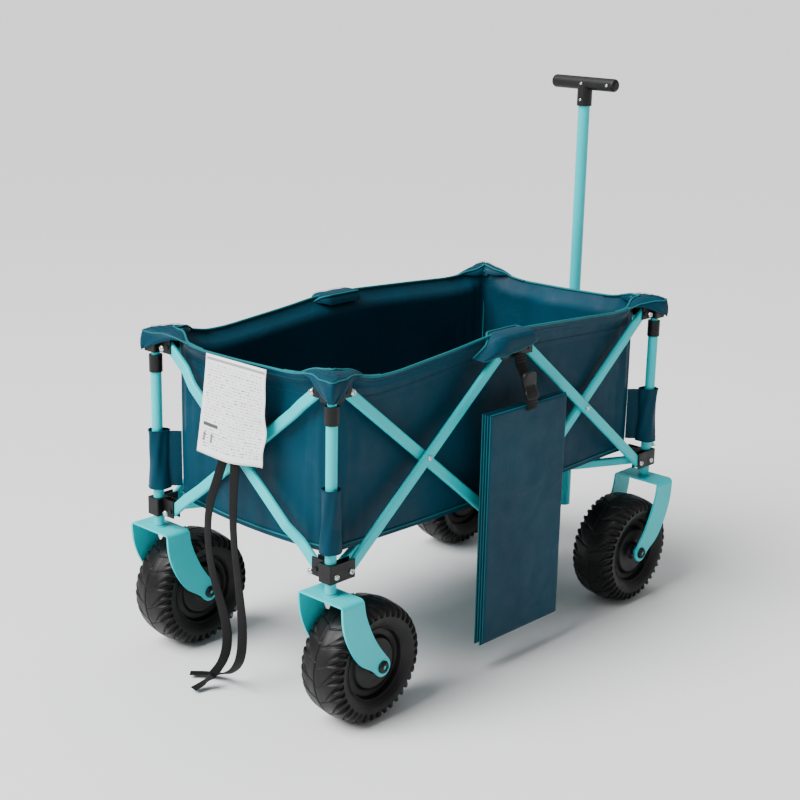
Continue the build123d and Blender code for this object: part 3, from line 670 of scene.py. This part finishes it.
# %% [markdown]
# ## The basket walls
#
# Each wall is one sheet from its bottom seam to its hem. In plan it runs along the frame and
# turns a small round corner, so that two walls meet on the seam. The hem climbs over the
# brackets and dips between them. Folds come from sums of waves that die out
# where the cloth is stretched tight, and from soft upright flutes beside each corner.

# %% Wall outline and folds
POST_GAP = 0.026
WALL_X = half_x - POST_GAP
WALL_Y = half_y - POST_GAP
WALL_CORNER = 0.016


def smooth_knots(value, knots, spread=0.022):
    """Straight pieces between knots, with their corners rounded off."""
    places, heights = zip(*knots)
    shifts = (-1, -0.6, -0.2, 0.2, 0.6, 1)
    return np.mean([np.interp(value + spread * shift, places, heights) for shift in shifts], axis=0)


def side_hem(x):
    """The height of a side wall's rim."""
    knots = [
        (-0.43, 0.590), (-0.385, 0.588), (-0.335, 0.571), (-0.28, 0.570), (-0.13, 0.583), (-0.05, 0.592),
        (0.04, 0.592), (0.19, 0.584), (0.32, 0.576), (0.38, 0.580), (0.43, 0.590),
    ]
    return smooth_knots(x, knots)


def end_hem(y):
    """The height of an end wall's rim."""
    knots = [
        (-0.215, 0.592), (-0.172, 0.589), (-0.125, 0.578), (0.0, 0.574), (0.11, 0.573), (0.165, 0.583),
        (0.215, 0.592),
    ]
    return smooth_knots(y, knots)


# %% Creases and the rows of a wall
def folds(along, v, seed, amount):
    """Soft creases: a few slanting waves, each strongest in its own patch."""
    rng = random.Random(seed)
    total = 0 * along
    for _ in range(9):
        spot, height = rng.uniform(-1, 1), rng.uniform(0.1, 0.9)
        slope, pace = rng.uniform(-2.2, 2.2), rng.uniform(5, 13)
        wide, tall = rng.uniform(0.2, 0.45), rng.uniform(0.25, 0.5)
        patch = np.exp(-(((along - spot) / wide) ** 2) - ((v - height) / tall) ** 2)
        total = total + patch * np.sin(pace * (along + slope * 0.3 * v) + rng.uniform(0, math.tau))
    return amount * total * np.sin(math.pi * np.clip(v, 0, 1)) ** 0.6


def wall_rows(run, half, bulge, hem, hem_out, seam, seed, columns, levels=34):
    """Rows of (along, out, z) for one wall. run is its half length, half its distance from the
    middle, and seam its bottom seam's height and how far that climbs to the corners."""
    share = np.linspace(-1, 1, columns)
    share = np.sign(share) * (1 - (1 - np.abs(share)) ** 1.25)
    straight = run - WALL_CORNER
    along = share * (straight + WALL_CORNER * 0.785)
    past = np.clip(np.abs(along) - straight, 0, None) / WALL_CORNER
    flat_along = np.sign(along) * (np.minimum(np.abs(along), straight) + WALL_CORNER * np.sin(past))
    inset = WALL_CORNER * (1 - np.cos(past))
    top = hem(flat_along)
    low = seam[0] + seam[1] * np.abs(flat_along / run) ** 2
    # Creases and the rim's flare die out at the corners, where two walls share a seam.
    free = 1 - ease(np.abs(flat_along), run - 0.050, run - 0.006)
    near = run - np.abs(flat_along)
    flute = 0.0040 * np.cos(near * 230) * np.exp(-near / 0.03) * ease(near, 0.004, 0.02)
    belly = np.sqrt(np.clip(1 - (flat_along / run) ** 2, 0, 1))
    rows = []
    for level in range(levels):
        v = level / (levels - 1)
        z = low + (top - low) * v
        body = bulge * np.sin(math.pi * min(v * 1.1, 1.0)) ** 0.8 * belly
        crease = free * folds(along / run, v + 0 * along, seed, 0.0032)
        flutes = flute * math.sin(math.pi * v) ** 0.5
        rim = hem_out * ease(v, 0.90, 1.0) * free
        rows.append(np.stack([flat_along, half + body + crease + flutes + rim - inset, z], axis=-1))
    return np.array(rows)


# %% [markdown]
# Piping is a cord bound into the hem. It is a thin tube swept along the top row of the wall, and
# another along its bottom seam. Two rows of stitches run below the rim, and the hem itself is a
# band of doubled cloth that stands a little proud. All of it is one mesh, so it folds as one.


# %% Build a wall
THREAD_R = 0.00042


def stitch_row(net, line, outward, pitch=0.0042, raised=0.0006):
    """Short raised threads along a line, with gaps between."""
    line = np.asarray(line, float)
    steps = np.concatenate([[0], np.cumsum(np.linalg.norm(np.diff(line, axis=0), axis=1))])
    for start in np.arange(pitch, steps[-1] - pitch, pitch):
        spots = [start, start + pitch * 0.3, start + pitch * 0.62]
        middle = np.array([[np.interp(s, steps, line[:, k]) for k in range(3)] for s in spots])
        middle[1] += np.asarray(outward) * raised * 0.6
        thread = sweep(middle + np.asarray(outward) * raised, round_section(THREAD_R, 4))
        net.grid(thread, STITCH_FACES, around=True)


def build_wall(name, rows, body, replaced, outward):
    """A wall sheet with its hem, piping and stitches."""
    net = Net().grid(rows)
    outward = np.asarray(outward, float)
    proud = np.array([0.0, 0.0012, 0.0014, 0.0014, 0.0012, 0.0])
    net.grid(rows[-6:] + outward * proud[:, None, None])
    net.grid(sweep(rows[-1] + (0, 0, 0.0012), round_section(0.0024, 8)), PIPING_FACES, around=True)
    net.grid(sweep(rows[1] + outward * 0.001, round_section(0.0018, 6)), PIPING_FACES, around=True)
    for index in (-5, -2):
        stitch_row(net, rows[index] + outward * 0.0016, outward)
    wall = net.piece(name, sewn_finishes, body, "basket_cloth")
    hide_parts(replaced)
    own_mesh(wall)


# %% The four walls
SIDE_SEAM, END_SEAM = (0.2855, 0.006), (0.281, 0.010)
# Each wall: how far its rim leans out, and the seed of its creases
SIDE_LOOKS = {"right": (0.017, 11), "left": (0.024, 23)}
END_LOOKS = {"rear": (0.020, 37), "front": (0.020, 53)}

rims = {}
for side, sy in side_signs.items():
    hem_out, seed = SIDE_LOOKS[side]
    rows = wall_rows(WALL_X, WALL_Y, 0.006, side_hem, hem_out, SIDE_SEAM, seed, 161)
    rows[..., 1] *= sy
    rims[side] = rows[-1].copy()
    build_wall("basket_wall_" + side, rows, "middle_top_" + side, "basket_side_" + side,
               outward=(0, sy, 0))

for end, sx in end_signs.items():
    hem_out, seed = END_LOOKS[end]
    rows = wall_rows(WALL_Y, WALL_X, 0.003, end_hem, hem_out, END_SEAM, seed, 97)
    rows = rows[..., [1, 0, 2]] * (sx, 1, 1)
    rims[end] = rows[-1].copy()
    build_wall("basket_wall_" + end, rows, end + "_right_top", "basket_end_" + end,
               outward=(sx, 0, 0))

# %% [markdown]
# ## The basket floor
#
# The floor is two panels that meet on the middle seam, reach the walls and sag between the
# arms underneath. Each is a net with a shallow belly and a few cross creases.

# %% Floor panels
for side, sy in side_signs.items():
    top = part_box("basket_floor_" + side)[1].z
    grid_x, reach = np.meshgrid(np.linspace(-WALL_X, WALL_X, 91), np.linspace(0, 1, 24))
    # The outer edge meets the wall's seam and follows its round corners.
    past = np.clip(np.abs(grid_x) - (WALL_X - WALL_CORNER), 0, WALL_CORNER)
    grid_y = sy * reach * (WALL_Y - WALL_CORNER + np.sqrt(WALL_CORNER**2 - past**2))
    belly = (1 - (grid_x / WALL_X) ** 2) * (1 - np.abs(grid_y / WALL_Y) ** 2)
    crease = folds(grid_x / WALL_X, reach, 71 + sy, 0.0012)
    height = top - 0.0006 - 0.0012 * belly + np.minimum(crease, 0.0014)
    panel = Net().grid(np.stack([grid_x, grid_y, height], axis=-1))
    floor_cloth = panel.piece(f"basket_floor_cloth_{side}", [basket_cloth], "floor_" + side, "basket_cloth")
    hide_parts("basket_floor_" + side)
    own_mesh(floor_cloth)
    print(floor_cloth.name, round(2 * WALL_X, 3), "by", round(WALL_Y, 3), "m at height", round(top, 3))

# %% [markdown]
# ## Corner caps
#
# A pocket of the same cloth is pulled over each top bracket. It reads as a pointed hood: its
# lower flap ends in a V between the two screws, its top is puffed, and its two wings taper
# into the hems. Each row of the net is an L that runs along one wall, round the bracket's
# outer corner and along the other wall. Going up the rows, the L first climbs the outer
# faces, then moves inward over the top, and last turns down inside the basket.

# %% Corner caps
CAP_LEG = 0.098
CAP_OUT = 0.0195
CAP_TURN = 0.007
# Each row: (inset from the outer faces, height, length of its legs)
CAP_ROWS = [
    (0.0000, 0.5560, 0.004), (-0.0008, 0.5610, 0.020), (-0.0010, 0.5665, 0.036), (-0.0008, 0.5725, 0.052),
    (0.0000, 0.5785, 0.068), (0.0008, 0.5840, 0.084), (0.0022, 0.5880, 0.098), (0.0060, 0.5915, 0.098),
    (0.0130, 0.5945, 0.098), (0.0220, 0.5962, 0.098), (0.0310, 0.5962, 0.098), (0.0400, 0.5945, 0.096),
    (0.0470, 0.5905, 0.094), (0.0500, 0.5840, 0.092), (0.0508, 0.5760, 0.090),
]


def hem_point(rim, distance):
    """Where a wall's rim lies, in the corner's own axes, a distance in from the corner."""
    order = np.argsort(rim[:, 0])
    return [float(np.interp(distance, rim[order, 0], rim[order, k])) for k in (1, 2)]


def cap_row(inset, height, leg, local_rims, seed):
    """One L of a corner cap in the corner's own axes, which run inward along the two walls."""
    points = []
    for hand in (0, 1):
        shares = np.linspace(1, 0, 15) if hand == 0 else np.linspace(0, 1, 15)
        for share in shares:
            along = CAP_TURN + inset + (leg - CAP_TURN) * share
            reach = min(along / CAP_LEG, 1)
            taper = reach**2.2
            wander = 0.0014 * math.sin(9 * share + 3 * hand + 40 * inset + seed)
            rim_out, rim_height = hem_point(local_rims[hand], along)
            lip = 0.0022 if inset < 0.02 else -0.0022
            out = inset * (1 - taper) + (rim_out - lip) * taper + wander * (1 - taper) * 0.6
            sag = height * (1 - taper) + (rim_height + 0.0008) * taper
            z = sag + 0.0012 * math.sin(14 * share + seed + 60 * inset) * (1 - share)
            points.append((along, out, z) if hand == 0 else (out, along, z))
        if hand == 0:
            for angle in np.linspace(0, math.pi / 2, 7)[1:-1]:
                centre = inset + CAP_TURN
                a, b = CAP_TURN * math.sin(angle), CAP_TURN * math.cos(angle)
                points.append((centre - a, centre - b, height))
    return points


# %% Sew the corner caps
LIP_ROW, TOP_ROW = 6, 11
for index, (corner, (sx, sy)) in enumerate(corner_signs.items()):
    end, side = corner.split("_")
    origin = np.array((sx * (half_x + CAP_OUT), sy * (half_y + CAP_OUT), 0))
    local = [(rims[wall] - origin) * (-sx, -sy, 1) for wall in (side, end)]
    local[1] = local[1][:, [1, 0, 2]]
    rows = np.array([cap_row(*row, local, seed=index * 1.7) for row in CAP_ROWS])
    rows = origin + rows * (-sx, -sy, 1)
    net = Net().grid(rows)
    net.grid(sweep(rows[LIP_ROW] + (0, 0, 0.0006), round_section(0.0013, 6)), PIPING_FACES, around=True)
    net.grid(sweep(rows[TOP_ROW] + (0, 0, 0.0012), round_section(0.0021, 8)), PIPING_FACES, around=True)
    for between in (8, 9):
        stitch_row(net, rows[between] + (0, 0, 0.0009), (0, 0, 1))
    cap = net.piece("corner_cap_" + corner, sewn_finishes, corner + "_top", "basket_cloth")
    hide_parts("basket_end_" + end)
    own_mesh(cap)
print("corner caps:", len(corner_signs))

# %% [markdown]
# ## Middle caps
#
# Over the middle of each side the cloth is pulled across the top bracket like a small tent.
# Its outer flap hangs lower at one end, where the corner of the cloth points down the tube.

# %% Middle caps
MIDDLE_ENDS = (-0.098, 0.050)


def middle_cap(sy):
    """Rows from inside the wall, over the bracket, down to the flap's lower edge."""
    x = MIDDLE_ENDS[0] + (MIDDLE_ENDS[1] - MIDDLE_ENDS[0]) * np.linspace(0, 1, 33)
    ridge = ease(x, -0.068, -0.036) * (1 - ease(x, 0.036, 0.050))
    lower = np.interp(x, [-0.098, -0.031, 0.017, 0.050], [0.5600, 0.5640, 0.5700, 0.5790])
    hem = side_hem(x)
    # Beside the bracket the cap's edge slopes down to the flap's point.
    slope = np.where(x < 0, np.interp(x, [-0.098, -0.045], [0.5610, 0.5900]), hem - 0.004)
    # Each row over the bracket: distance from the wagon's middle, height over the hem, fullness
    over = [
        (0.1868, -0.012, 0.0), (0.1880, -0.004, 0.2), (0.1925, 0.0015, 0.75), (0.2010, 0.0030, 1.0),
        (0.2120, 0.0036, 1.0), (0.2230, 0.0030, 1.0), (0.2325, 0.0008, 1.0), (0.2372, -0.0040, 1.0),
    ]
    rows = []
    for out, lift, full in over:
        height = (hem - 0.0015 + lift + 0.0030 * full) * ridge + (slope + 0.0006) * (1 - ridge)
        place = out * ridge + (0.2150 + (out - 0.2080) * 0.12) * (1 - ridge)
        rows.append(np.stack([x, place, height], axis=-1))
    _, edge, top = rows[-1].T
    for step in np.linspace(0.2, 1, 6):
        place = edge + 0.0012 * math.sin(3 * step) + 0.0150 * (1 - ridge) * min(step * 1.6, 1)
        rows.append(np.stack([x + 0.002 * step * ridge, place, top + (lower - top) * step], axis=-1))
    rows = np.array(rows)
    rows[..., 2] += 0.0009 * np.sin(x * 180)[None, :] * np.linspace(0, 1, len(rows))[:, None]
    return rows * (1, sy, 1)


for side, sy in side_signs.items():
    rows = middle_cap(sy)
    net = Net().grid(rows)
    net.grid(sweep(rows[2] + (0, 0, 0.001), round_section(0.0021, 8)), PIPING_FACES, around=True)
    net.grid(sweep(rows[-1], round_section(0.0012, 6)), PIPING_FACES, around=True)
    stitch_row(net, rows[6] + (0, 0, 0.0008), (0, 0, 1))
    stitch_row(net, rows[-2] + (0, sy * 0.001, 0), (0, sy, 0))
    cap = net.piece("middle_cap_" + side, sewn_finishes, "middle_top_" + side, "basket_cloth")
    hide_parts("basket_side_" + side)
    print(cap.name, round(MIDDLE_ENDS[1] - MIDDLE_ENDS[0], 3), "m long")

# %% [markdown]
# ## Sleeves
#
# A loose cloth sleeve on each lower post keeps the basket's corner from riding up. It flares
# at the bottom, has a hem at both ends and a flat web of doubled cloth that is sewn to the
# corner of the basket.

# %% Post sleeves
SLEEVE_LOW, SLEEVE_TOP = 0.309, 0.412
SLEEVE_R = 0.0143
for index, (corner, (sx, sy)) in enumerate(corner_signs.items()):
    x, y = sx * half_x, sy * half_y
    inward = np.array((-sx, -sy)) / math.sqrt(2)
    start = math.atan2(inward[1], inward[0])
    rows = []
    for z in np.linspace(SLEEVE_LOW, SLEEVE_TOP, 22):
        flare = 0.0036 * (1 - ease(z, SLEEVE_LOW, 0.36)) + 0.0008 * ease(z, 0.40, SLEEVE_TOP)
        ring = []
        for angle in np.linspace(0, math.tau, 40, endpoint=False):
            lobes = 0.0011 * math.sin(2 * angle + 30 * z + index) + 0.0007 * math.sin(5 * angle - 60 * z)
            toward = max(0.0, math.cos(angle)) ** 6
            radius = SLEEVE_R + flare + lobes + 0.005 * toward
            ring.append((x + radius * math.cos(angle + start), y + radius * math.sin(angle + start), z))
        rows.append(ring)
    rows = np.array(rows)
    net = Net().grid(rows, around=True)
    for row in (0, -1):
        loop = np.concatenate([rows[row], rows[row][:1]])
        net.grid(sweep(loop, round_section(0.0011, 6)), CLOTH_FACES, around=True)
    # The web: two layers from the sleeve to the basket's corner.
    near = np.array((x, y)) + inward * 0.0175
    seam_in = WALL_CORNER * 0.29
    far = np.array((sx * (WALL_X + 0.001 - seam_in), sy * (WALL_Y + 0.001 - seam_in)))
    beside = np.array((-inward[1], inward[0])) * 0.0012
    for hand in (-1, 1):
        web = []
        for z in np.linspace(0.311, 0.410, 12):
            wave = 0.0010 * math.sin(55 * z + index)
            row = []
            for t in np.linspace(0, 1, 7):
                puff = hand * beside * (1 + math.sin(math.pi * t)) + beside * wave * 600 * t * (1 - t)
                row.append((*(near + (far - near) * t + puff), z))
            web.append(row)
        net.grid(web)
    sleeve = net.piece("post_sleeve_" + corner, [basket_cloth], corner + "_top", "basket_cloth")
print("sleeves", round(SLEEVE_TOP - SLEEVE_LOW, 3), "m high, radius", SLEEVE_R)

# %% [markdown]
# ## The folded floor mat
#
# The basket's floor board travels outside, folded in four and hung by a strap. Each leaf is a
# stiff board in a cloth cover: flat faces, soft rounded edges pulled in at the seam, and a
# binding at its sides. The leaves are a little out of line, so their edges show.

# %% Mat leaves
mat_low, mat_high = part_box("floor_mat")
LEAF_THICK = 0.0052
LEAF_GAP = 0.0005
LEAF_SHIFT = 0.006
LEAF_EDGE = 0.0045
BINDING_IN = 0.0008


def leaf_net(left, right, bottom, top, middle_y, thick, seed):
    """A padded leaf: two faces and a rounded edge, from nested outlines."""
    net = Net()
    for face in (-1, 1):
        grid_u, grid_v = np.meshgrid(np.linspace(0, 1, 25), np.linspace(0, 1, 41))
        # Points crowd toward the edges, where the cover curves.
        grid_u = grid_u - np.sin(grid_u * math.tau) / math.tau * 0.85
        grid_v = grid_v - np.sin(grid_v * math.tau) / math.tau * 0.85
        px = left + (right - left) * grid_u
        pz = bottom + (top - bottom) * grid_v
        rim = np.minimum(np.minimum(px - left, right - px), np.minimum(pz - bottom, top - pz))
        full = np.sqrt(np.clip(1 - (1 - np.clip(rim / LEAF_EDGE, 0, 1)) ** 2, 0, 1))
        quilt = 0.0004 * np.sin(18 * px + seed) * np.sin(13 * pz + 2 * seed)
        py = middle_y + face * (thick / 2) * (0.16 + 0.84 * full) + face * quilt * full
        net.grid(np.stack([px, py, pz], axis=-1)[:, ::face])
    return net


# %% Stack the leaves
for layer in range(4):
    shift = LEAF_SHIFT * (layer % 2)
    middle_y = mat_high.y - LEAF_THICK / 2 - layer * (LEAF_THICK + LEAF_GAP)
    left, right = mat_low.x, mat_high.x - shift
    bottom, top = mat_low.z + shift, mat_high.z
    net = leaf_net(left, right, bottom, top, middle_y, LEAF_THICK, layer)
    near_x, far_x = left + BINDING_IN, right - BINDING_IN
    near_z, far_z = bottom + BINDING_IN, top - BINDING_IN
    outline = [(near_x, near_z), (far_x, near_z), (far_x, far_z), (near_x, far_z)]
    loop = []
    for (ax, az), (bx, bz) in zip(outline, outline[1:] + outline[:1]):
        for t in np.linspace(0, 1, 12, endpoint=False):
            loop.append((ax + (bx - ax) * t, middle_y, az + (bz - az) * t))
    loop.append(loop[0])
    # The binding shows up both sides of every leaf, and along the top of the front one.
    strips = [loop[12:24], loop[36:]] + ([loop[24:37]] if layer == 3 else [])
    for strip in strips:
        net.grid(sweep(strip, round_section(0.0011, 6), across=(0, 1, 0)), PIPING_FACES, around=True)
    leaf = net.piece(f"mat_leaf_{layer + 1}", [basket_cloth, piping_cloth], "mat", "basket_cloth")
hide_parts("floor_mat")
print("mat leaves", round(mat_high.x - mat_low.x, 3), "by", round(mat_high.z - mat_low.z, 3))

# %% [markdown]
# ## Strap and buckle
#
# The mat hangs from a doubled strap of ribbed webbing that passes through a side-release
# buckle. The ribs are real: the strap's thickness swells and pinches along its length.

# %% Mat strap
HANGER_WIDTH, HANGER_THICK = 0.0275, 0.0032
strap_low, strap_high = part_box("mat_strap")
top_y = strap_high.y - 0.0015
hang_y = (mat_low.y + mat_high.y) / 2
front_y = mat_low.y - 0.0022
route = np.array([
    (0, top_y, strap_high.z),
    (0, top_y - 0.004, strap_high.z - 0.016),
    (0, hang_y - 0.004, strap_low.z + 0.032),
    (0, front_y, strap_low.z + 0.014),
    (0, front_y, strap_low.z - 0.001),
    (0, front_y, strap_low.z - 0.012),
])
steps = np.linspace(0, 1, 14, endpoint=False)[:, None]
dense = np.concatenate([here + (there - here) * steps for here, there in zip(route, route[1:])])
rib = 1 + 0.22 * np.sin(np.arange(len(dense)) * 1.35)
band = sweep(dense, flat_section(HANGER_WIDTH, HANGER_THICK), across=(1, 0, 0))
band[:, :, 1] = dense[:, None, 1] + (band[:, :, 1] - dense[:, None, 1]) * rib[:, None]
strap = Net().grid(band, around=True).cap(band[0][::-1]).cap(band[-1])
webbing = strap.piece("mat_strap_webbing", [webbing_cloth], "mat_strap", "webbing")
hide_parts("mat_strap")
print("the mat's strap drops", round(float(dense[0, 2] - dense[-1, 2]), 3), "m")

# %% Buckle
BUCKLE_HALF, BUCKLE_DEEP, BUCKLE_LONG = 0.0175, 0.0052, 0.034
# Each ring: its share of the length down the buckle, and its share of the width
BUCKLE = [
    (-0.30, 0.72), (-0.22, 0.95), (-0.05, 1.0), (0.30, 1.0), (0.36, 0.86),
    (0.62, 0.80), (0.70, 0.95), (0.95, 0.92), (1.0, 0.80),
]
rings = []
for share, width in BUCKLE:
    z = strap_low.z + 0.042 - BUCKLE_LONG * share
    section = []
    for a in np.arange(24) * math.tau / 24:
        wide = math.copysign(abs(math.cos(a)) ** 0.45, math.cos(a)) * BUCKLE_HALF * width
        deep = math.copysign(abs(math.sin(a)) ** 0.6, math.sin(a)) * BUCKLE_DEEP
        section.append((wide, hang_y - 0.004 - 0.009 * ease(share, 0.2, 1.0) + deep, z))
    rings.append(section)
rings = np.array(rings)
buckle = Net().grid(rings, around=True).cap(rings[0][::-1]).cap(rings[-1])
buckle_piece = buckle.piece("mat_strap_buckle", [black_plastic], "mat_strap", "black_plastic")
add_modifier(buckle_piece, "SUBSURF", levels=1, render_levels=2)
print("buckle", 2 * BUCKLE_HALF, "m wide")

# %% [markdown]
# ## The leaflet
#
# A sheet of paper is sewn into the rear hem. Paper bends in one direction at a time, so its
# curl is a roll whose strength grows towards the lower right, and its free edge waves.

# %% Paper leaflet
tag_low, tag_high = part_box("paper_tag")
LEAFLET_COLUMNS, LEAFLET_ROWS = 29, 33
rows, sheet_places = [], []
for j in range(LEAFLET_ROWS):
    v = 1 - j / (LEAFLET_ROWS - 1)
    row = []
    for i in range(LEAFLET_COLUMNS):
        u = i / (LEAFLET_COLUMNS - 1)
        drop = 1 - v
        y = tag_high.y - (tag_high.y - tag_low.y) * u
        z = tag_low.z + (tag_high.z - tag_low.z) * v
        x = tag_high.x - 0.0004 - 0.020 * drop**1.25
        curl = ease(u, 0.45, 1.0) * ease(drop, 0.05, 0.9)
        x += 0.010 * curl - 0.0030 * math.sin(5.5 * drop * math.pi) * ease(u, 0.6, 1.0) * drop
        x -= 0.0022 * math.sin(math.pi * u) * drop
        y += 0.0035 * math.sin(6.5 * drop + 0.5) * u * drop + 0.004 * drop * (1 - u) ** 2
        z += 0.006 * curl * u * (1 - v) - 0.004 * drop * (u - 0.35)
        row.append((x, y, z))
        sheet_places.append((u, v))
    rows.append(row)
leaflet = Net().grid(rows).piece("paper_leaflet", [paper_white], "rear_right_top", "paper")
sheet_map = leaflet.data.uv_layers.new(name="sheet")
for loop in leaflet.data.loops:
    sheet_map.data[loop.index].uv = sheet_places[loop.vertex_index]
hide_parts("paper_tag")
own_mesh(leaflet)
add_modifier(leaflet, "SOLIDIFY", thickness=0.0003, offset=0)

# %% [markdown]
# ## Studio
#
# A pale floor that runs to the horizon, a wide soft window light and two round softboxes. The
# light comes from high on the left rear, so the end of the wagon is bright and its right side
# falls into shade. The pale world keeps the shade readable.


# %% Floor and lights
def studio_floor():
    paint = Finish("studio_floor", 0.9, Specular_IOR_Level=0.1)
    return paint.wire(Base_Color=paint.ramp(paint.noise(2.0), [(0.0, 0.80), (1.0, 0.81)]))


FAR = 400
floor_net = Net().grid([[(-FAR, -FAR, 0), (FAR, -FAR, 0)], [(-FAR, FAR, 0), (FAR, FAR, 0)]])
floor_mesh = bpy.data.meshes.new("studio_floor")
floor_mesh.from_pydata(floor_net.points, [], floor_net.faces)
floor_mesh.materials.append(studio_floor())
floor_piece = bpy.data.objects.new("studio_floor", floor_mesh)
bpy.context.scene.collection.objects.link(floor_piece)
floor_piece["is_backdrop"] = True


def softbox(name, place, target, size, power):
    """A round area light that faces a point."""
    light = bpy.data.lights.new(name, "AREA")
    light.shape = "DISK"
    light.size = size
    light.energy = power
    lamp = bpy.data.objects.new(name, light)
    bpy.context.scene.collection.objects.link(lamp)
    lamp.location = place
    lamp.rotation_euler = (Vector(target) - Vector(place)).to_track_quat("-Z", "Y").to_euler()


sun = bpy.data.lights.new("window", "SUN")
sun.energy = 5.2
sun.angle = math.radians(40)
window = bpy.data.objects.new("window", sun)
bpy.context.scene.collection.objects.link(window)
window.rotation_euler = Vector((0.62, -0.22, -0.85)).to_track_quat("-Z", "Y").to_euler()
softbox("key", (-3.0, 0.6, 2.2), (0, 0, 0.35), 1.6, 70)
softbox("top", (0.6, 0.6, 3.4), (0, 0, 0.2), 2.6, 30)

world = bpy.data.worlds.new("studio")
world.use_nodes = True
background = world.node_tree.nodes["Background"]
background.inputs["Color"].default_value = (0.86, 0.87, 0.88, 1)
background.inputs["Strength"].default_value = 0.42
bpy.context.scene.world = world
print("lights:", [light.name for light in bpy.data.lights])

# %% [markdown]
# ## Size
#
# The dressed wagon has to stay the size of the bare one, so both boxes are measured and how much it grew is
# printed.

# %% Measure both boxes and finish
dressed_low, dressed_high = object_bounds()
growth = (dressed_high - dressed_low) - (cad_high - cad_low)
print("grew by", [round(side * 1000, 1) for side in growth], "mm")
